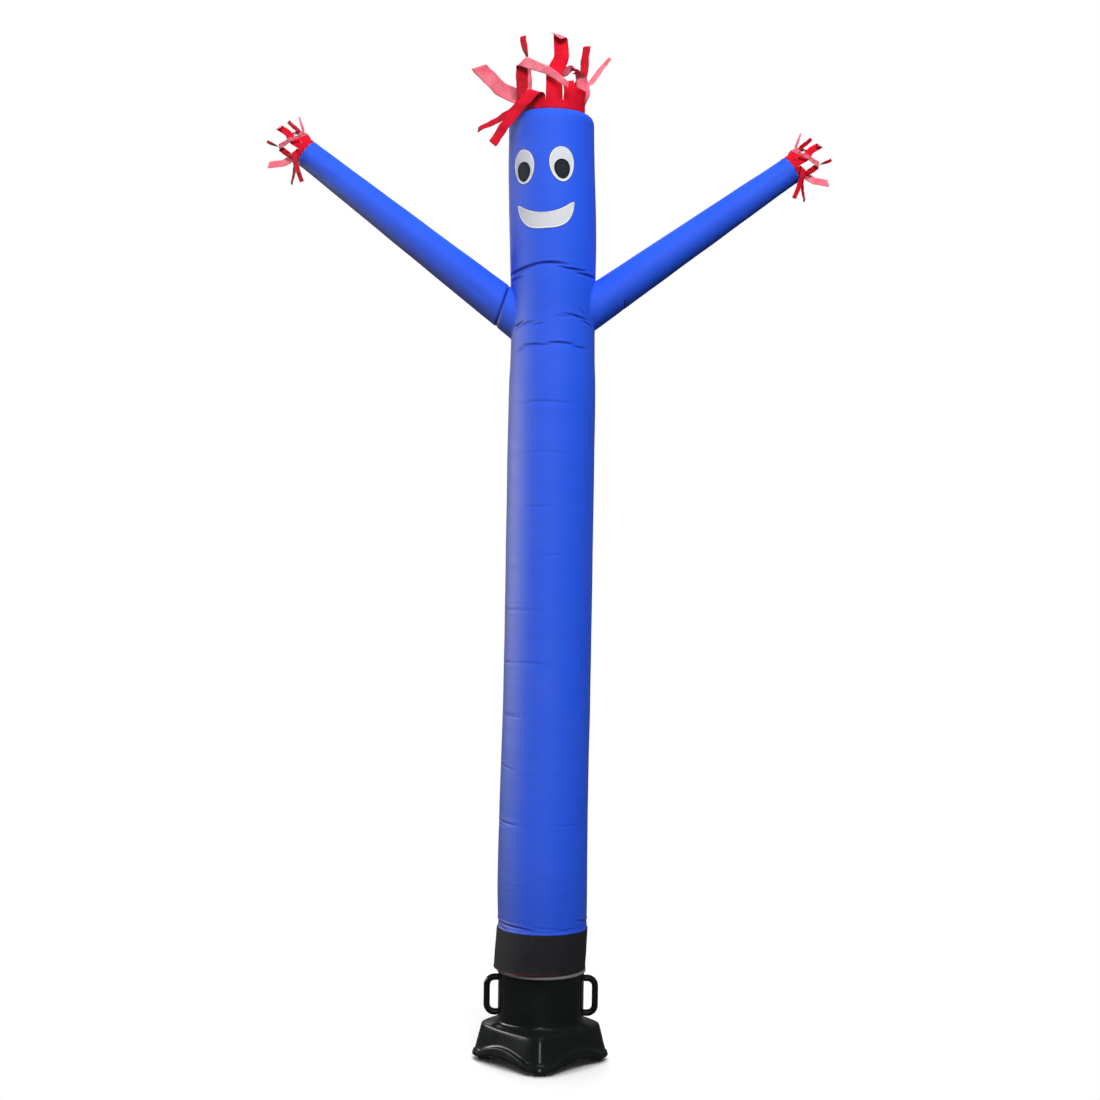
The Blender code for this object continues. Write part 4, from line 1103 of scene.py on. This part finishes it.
def fringe_mesh(name, frame_matrix, size, growth):
    """The ring with every strip standing on it, as one sheet with two sides."""
    bm = bmesh.new()
    layer = bm.loops.layers.uv.new("cloth")
    tops = []

    def add_face(verts, places, kind):
        face = bm.faces.new(verts)
        face.material_index = kind
        for loop, place in zip(face.loops, places):
            loop[layer].uv = (place[0] * size, place[1] * size)

    for strip in STRIPS:
        rows = [[(bm.verts.new(point), place) for point, place in row]
                for row in strip_rows(strip, growth)]
        kind = FRONTS[strip.reverse]
        shift = math.radians(strip.azimuth) * RING_RADIUS
        for low, high in zip(rows, rows[1:]):
            for k in range(STRIP_COLUMNS):
                corners = (low[k], low[k + 1], high[k + 1], high[k])
                add_face([c[0] for c in corners],
                         [(c[1][0] + shift, c[1][1] + RING_HEIGHT) for c in corners], kind)
        tops += [vert for vert, _ in rows[0]]
    levels = [tops]
    for part in steps(1.0, 0.0, RING_ROWS):
        level = []
        for top in tops:
            turn = math.atan2(top.co.x, -top.co.y)
            swell = RING_SWELL * math.sin(math.pi * part) * math.sin(turn * RING_GATHERS)
            radius = math.hypot(top.co.x, top.co.y) + swell
            level.append(bm.verts.new(ring_point(turn, radius, RING_HEIGHT * part)))
        levels.append(level)
    for high, low in zip(levels, levels[1:]):
        for k in range(len(tops)):
            n = (k + 1) % len(tops)
            corners = (low[k], low[n], high[n], high[k])
            places = [(math.atan2(c.co.x, -c.co.y) * RING_RADIUS, c.co.z) for c in corners]
            add_face(corners, places, FRONTS["pale"])
    bmesh.ops.transform(bm, matrix=frame_matrix, verts=bm.verts)
    if frame_matrix.determinant() < 0:
        bmesh.ops.reverse_faces(bm, faces=bm.faces)
    mesh = bpy.data.meshes.new(name)
    bm.to_mesh(mesh)
    bm.free()
    return mesh


def strip_nylon(name, colour, deep_colour):
    shader = Shader(name, 0.68, 0.05, Sheen_Weight=0.0)
    flat = shader.flat()
    cloudy = shader.noise(shader.place(), 16.0, 3.0)
    lengthwise = shader.noise(shader.stretched(flat, (240.0, 12.0, 1.0)), 1.0, 3.0)
    tone = shader.mixed(shader.spread(cloudy, 0.3, 0.72), colour, deep_colour)
    tone = shader.mixed(shader.spread(lengthwise, 0.45, 0.8, 0.0, 0.35), tone, deep_colour)
    normal = shader.bump(shader.bands(flat, "Y", THREADS), 0.10, 0.0002)
    normal = shader.bump(lengthwise, 0.35, 0.0012, normal)
    return shader.finish(tone, shader.spread(lengthwise, 0.2, 0.8, 0.62, 0.76), normal)


# The front and reverse of strips with a pale reverse, then of those that are red on both sides
STRIP_CLOTHS = [strip_nylon(*cloth) for cloth in (
    ("red_nylon", (0.86, 0.009, 0.030), (0.62, 0.005, 0.020)),
    ("red_nylon_reverse", (0.92, 0.26, 0.33), (0.84, 0.12, 0.18)),
    ("red_nylon_front", (0.86, 0.009, 0.030), (0.55, 0.004, 0.018)),
    ("red_nylon_front_reverse", (0.80, 0.010, 0.034), (0.52, 0.005, 0.020)))]

Fringe = namedtuple("Fringe", "node matrix size growth flat area on")
head_matrix = Matrix.Translation((TUBE_SECTIONS[-1].shift, 0.0, VENT_HEIGHT + GAP))
FRINGES = [Fringe("hair_fringe", head_matrix, 1.0, 1.0, (0.722, 0.397), 0.132, "body_tube")]
for arm in ARMS:
    end = arm_frame(arm) @ Vector((0.0, 0.0, arm.length + GAP))
    upright = Matrix.Rotation(arm.outward * math.radians(90.0 - arm.rise), 4, "Y")
    size = Matrix.Diagonal((-arm.outward * HAND_SCALE, HAND_SCALE, HAND_SCALE, 1.0))
    FRINGES.append(Fringe("hand_fringe_" + arm.side, Matrix.Translation(end) @ upright @ size,
                          HAND_SCALE, HAND_GROWTH, (0.300, 0.187), 0.0280, "arm_" + arm.side))
for fringe in FRINGES:
    mesh = fringe_mesh(fringe.node + "_strips", fringe.matrix, fringe.size, fringe.growth)
    piece = add_piece(fringe.node + "_strips", mesh, STRIP_CLOTHS,
                      STRIP_CLOTH * max(fringe.size, THINNEST_STRIP), offset=0.0)
    piece.modifiers["thickness"].material_offset = 1
    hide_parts(fringe.node)


# Blower base
# One hollow moulding of black plastic: a straight housing with a rolled pale rim under its collar,
# on a skirt that slopes down to four feet, arched between them with a lip along the arches.
HOUSING_RADIUS = 0.1485
HOUSING_WALL = 0.004
COLLAR_RADIUS = 0.1500
COLLAR_TOP = 0.395
RIM_RADIUS = 0.1540
RIM_HEIGHT = 0.3135
WAIST_HEIGHT = 0.149
WAIST_FILLET = 0.017
SHOULDER_HEIGHT = 0.1265
SHOULDER_TIP = 0.2035
SKIRT_TIP = 0.2310
SKIRT_LIP = 0.0050
PLAN_POWER = 1.3
PLAN_CORNER = 0.08
FOOT_HEIGHT = 0.018
ARCH_HEIGHT = 0.040
LIP_FOOT_HEIGHT = 0.036
LIP_ARCH_HEIGHT = 0.072
FOOT_HALF_ANGLE = 13.0
HOUSING_COLUMNS = 240
CROWDING = 1.35               # columns crowd towards the feet
# (reach, height above the rim's middle) down over the rim
RIM_PROFILE = (
    (COLLAR_RADIUS, 0.009), (COLLAR_RADIUS + 0.0006, 0.0075), (RIM_RADIUS - 0.0014, 0.0055),
    (RIM_RADIUS - 0.0003, 0.0028), (RIM_RADIUS, 0.0), (RIM_RADIUS - 0.0003, -0.0028),
    (RIM_RADIUS - 0.0014, -0.0055), (HOUSING_RADIUS + 0.0014, -0.0095),
    (HOUSING_RADIUS + 0.0003, -0.014), (HOUSING_RADIUS, -0.018))
PALE_LEVELS = range(4, 8)     # rows of the housing round the rim that are coloured pale grey
HOUSING_ROWS = 5
HOUSING_STEP = 0.0262
PLASTIC_ROUGHNESS = 0.22
PALE_RIM_GREY = (0.20, 0.20, 0.195)


def plan_reach(azimuth, tip):
    """Reach of the four-cornered plan, whose corners are a little round."""
    def spread(turn):
        return sum((side * side + PLAN_CORNER ** 2) ** (PLAN_POWER / 2)
                   for side in (math.sin(turn), math.cos(turn)))

    return tip * (spread(0.0) / spread(math.radians(azimuth))) ** (1.0 / PLAN_POWER)


def arch_part(azimuth):
    """0 over a foot and 1 midway between two feet."""
    from_foot = abs((azimuth + 45.0) % 90.0 - 45.0)
    part = max(0.0, from_foot - FOOT_HALF_ANGLE) / (45.0 - FOOT_HALF_ANGLE)
    return math.sin(math.pi / 2 * part) ** 0.8


def skirt_reach(azimuth, height):
    part = (SHOULDER_HEIGHT - height) / (SHOULDER_HEIGHT - FOOT_HEIGHT)
    return plan_reach(azimuth, SHOULDER_TIP + (SKIRT_TIP - SHOULDER_TIP) * part)


def housing_profile(azimuth):
    """(reach, height) down the outside of the housing and up its inside at one azimuth."""
    edge = plan_reach(azimuth, SHOULDER_TIP)
    lip = LIP_FOOT_HEIGHT + (LIP_ARCH_HEIGHT - LIP_FOOT_HEIGHT) * arch_part(azimuth)
    foot = FOOT_HEIGHT + (ARCH_HEIGHT - FOOT_HEIGHT) * arch_part(azimuth)
    outer = [(COLLAR_RADIUS - 0.0015, COLLAR_TOP + 0.0005), (COLLAR_RADIUS, COLLAR_TOP - 0.0015)]
    outer += [(reach, RIM_HEIGHT + up) for reach, up in RIM_PROFILE]
    outer += [(HOUSING_RADIUS, outer[-1][1] - HOUSING_STEP * k) for k in range(1, HOUSING_ROWS + 1)]
    for step in range(6):
        turn = math.radians(14.0 * step)
        outer.append((HOUSING_RADIUS + WAIST_FILLET * (1.0 - math.cos(turn)),
                      WAIST_HEIGHT - WAIST_FILLET * math.sin(turn)))
    outer += zip(steps(outer[-1][0], edge - 0.0052, 4), steps(outer[-1][1], SHOULDER_HEIGHT + 0.0020, 4))
    outer += [(edge - 0.0020, SHOULDER_HEIGHT + 0.0004), (edge - 0.0004, SHOULDER_HEIGHT - 0.0020)]
    side = SHOULDER_HEIGHT - 0.008
    outer += [(skirt_reach(azimuth, height), height) for height in (side, *steps(side, lip + 0.0012, 6))]
    outer += [(skirt_reach(azimuth, lip) + SKIRT_LIP * 0.45, lip - 0.0008),
              (skirt_reach(azimuth, lip - 0.003) + SKIRT_LIP * 0.95, lip - 0.0030)]
    side = lip - 0.0042
    outer += [(skirt_reach(azimuth, height) + SKIRT_LIP, height)
              for height in (side, *steps(side, foot + 0.0012, 4))]
    outer += [(skirt_reach(azimuth, foot) + SKIRT_LIP - 0.0009, foot)]
    inner = [
        (skirt_reach(azimuth, foot) + SKIRT_LIP - HOUSING_WALL, foot),
        (skirt_reach(azimuth, lip) - HOUSING_WALL, lip - 0.004),
        (edge - HOUSING_WALL, SHOULDER_HEIGHT - 0.008),
        (edge - 0.008, SHOULDER_HEIGHT + 0.002 - HOUSING_WALL),
        (HOUSING_RADIUS + 0.004, WAIST_HEIGHT - 0.020 - HOUSING_WALL),
        (HOUSING_RADIUS - HOUSING_WALL, WAIST_HEIGHT - 0.012),
        (HOUSING_RADIUS - HOUSING_WALL, RIM_HEIGHT - 0.012),
        (COLLAR_RADIUS - HOUSING_WALL, RIM_HEIGHT),
        (COLLAR_RADIUS - HOUSING_WALL, COLLAR_TOP)]
    return outer + inner


def housing_azimuths():
    """Azimuths that crowd towards the feet, where the plan turns its corners."""
    azimuths = []
    per_quarter = HOUSING_COLUMNS // 4
    for foot in range(4):
        for k in range(per_quarter):
            part = 2.0 * k / per_quarter - 1.0
            crowd = math.copysign(1.0 - (1.0 - abs(part)) ** CROWDING, part)
            azimuths.append(90.0 * foot + 45.0 + 45.0 * crowd)
    return azimuths


def moulded(name, colour, rub_colour, rim=False):
    """Moulded plastic: faint orange peel, fine scratches and dust where it is handled."""
    shader = Shader(name, PLASTIC_ROUGHNESS, 0.055)
    place = shader.place()
    cloudy = shader.noise(place, 9.0, 4.0)
    peel = shader.noise(place, 420.0, 2.0)
    scratches = shader.noise(shader.stretched(place, (40.0, 40.0, 900.0)), 1.0, 3.0)
    tone = shader.mixed(shader.spread(cloudy, 0.35, 0.75), colour, rub_colour)
    if rim:
        tone = shader.mixed(shader.mark("rim"), tone, PALE_RIM_GREY)
    rough = shader.spread(cloudy, 0.2, 0.8, PLASTIC_ROUGHNESS - 0.04, PLASTIC_ROUGHNESS + 0.08)
    normal = shader.bump(peel, 0.08, 0.0004)
    normal = shader.bump(scratches, 0.05, 0.0003, normal)
    return shader.finish(tone, rough, normal)


black_plastic = moulded("black_moulded_plastic", (0.0078, 0.0092, 0.0094), (0.0108, 0.0122, 0.0126),
                        rim=True)
handle_plastic = moulded("black_handle_plastic", (0.0075, 0.0078, 0.0088), (0.0105, 0.0108, 0.0120))

columns = [(math.radians(azimuth), housing_profile(azimuth)) for azimuth in housing_azimuths()]
levels = [*range(len(columns[0][1])), 0]
rings = [[ring_point(turn, *profile[level]) for turn, profile in columns] for level in levels]
mesh = sheet_mesh("blower_base", rings,
                  {"rim": [float(level in PALE_LEVELS) for level in levels for _ in columns]},
                  cloth=lambda r, k: (k * 0.005, r * 0.01))
join_points(mesh)
housing = add_piece("blower_base", mesh, [black_plastic], smooth_angle=50)
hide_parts("blower_housing")

for node in ("handle_left", "handle_right", "cable_gland"):
    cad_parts[node].data.materials[0] = handle_plastic


# Feet
# Moulded rubber pads under the base's four corners, pushed up into the moulding. They are matt,
# scuffed and a little dusty where they stand on the ground.
RUBBER_BLACK = (0.013, 0.013, 0.013)
DUSTY_BLACK = (0.050, 0.048, 0.045)
shader = Shader("black_foot_rubber", 0.8, 0.3)
dust = shader.noise(shader.place(), 90.0, 4.0)
tone = shader.mixed(shader.spread(dust, 0.45, 0.8), RUBBER_BLACK, DUSTY_BLACK)
foot_rubber = shader.finish(tone, shader.spread(dust, 0.2, 0.8, 0.68, 0.90), shader.bump(dust, 0.3, 0.0006))
for side in ("front", "right", "back", "left"):
    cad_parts["foot_pad_" + side].data.materials[0] = foot_rubber


bpy.context.view_layer.update()
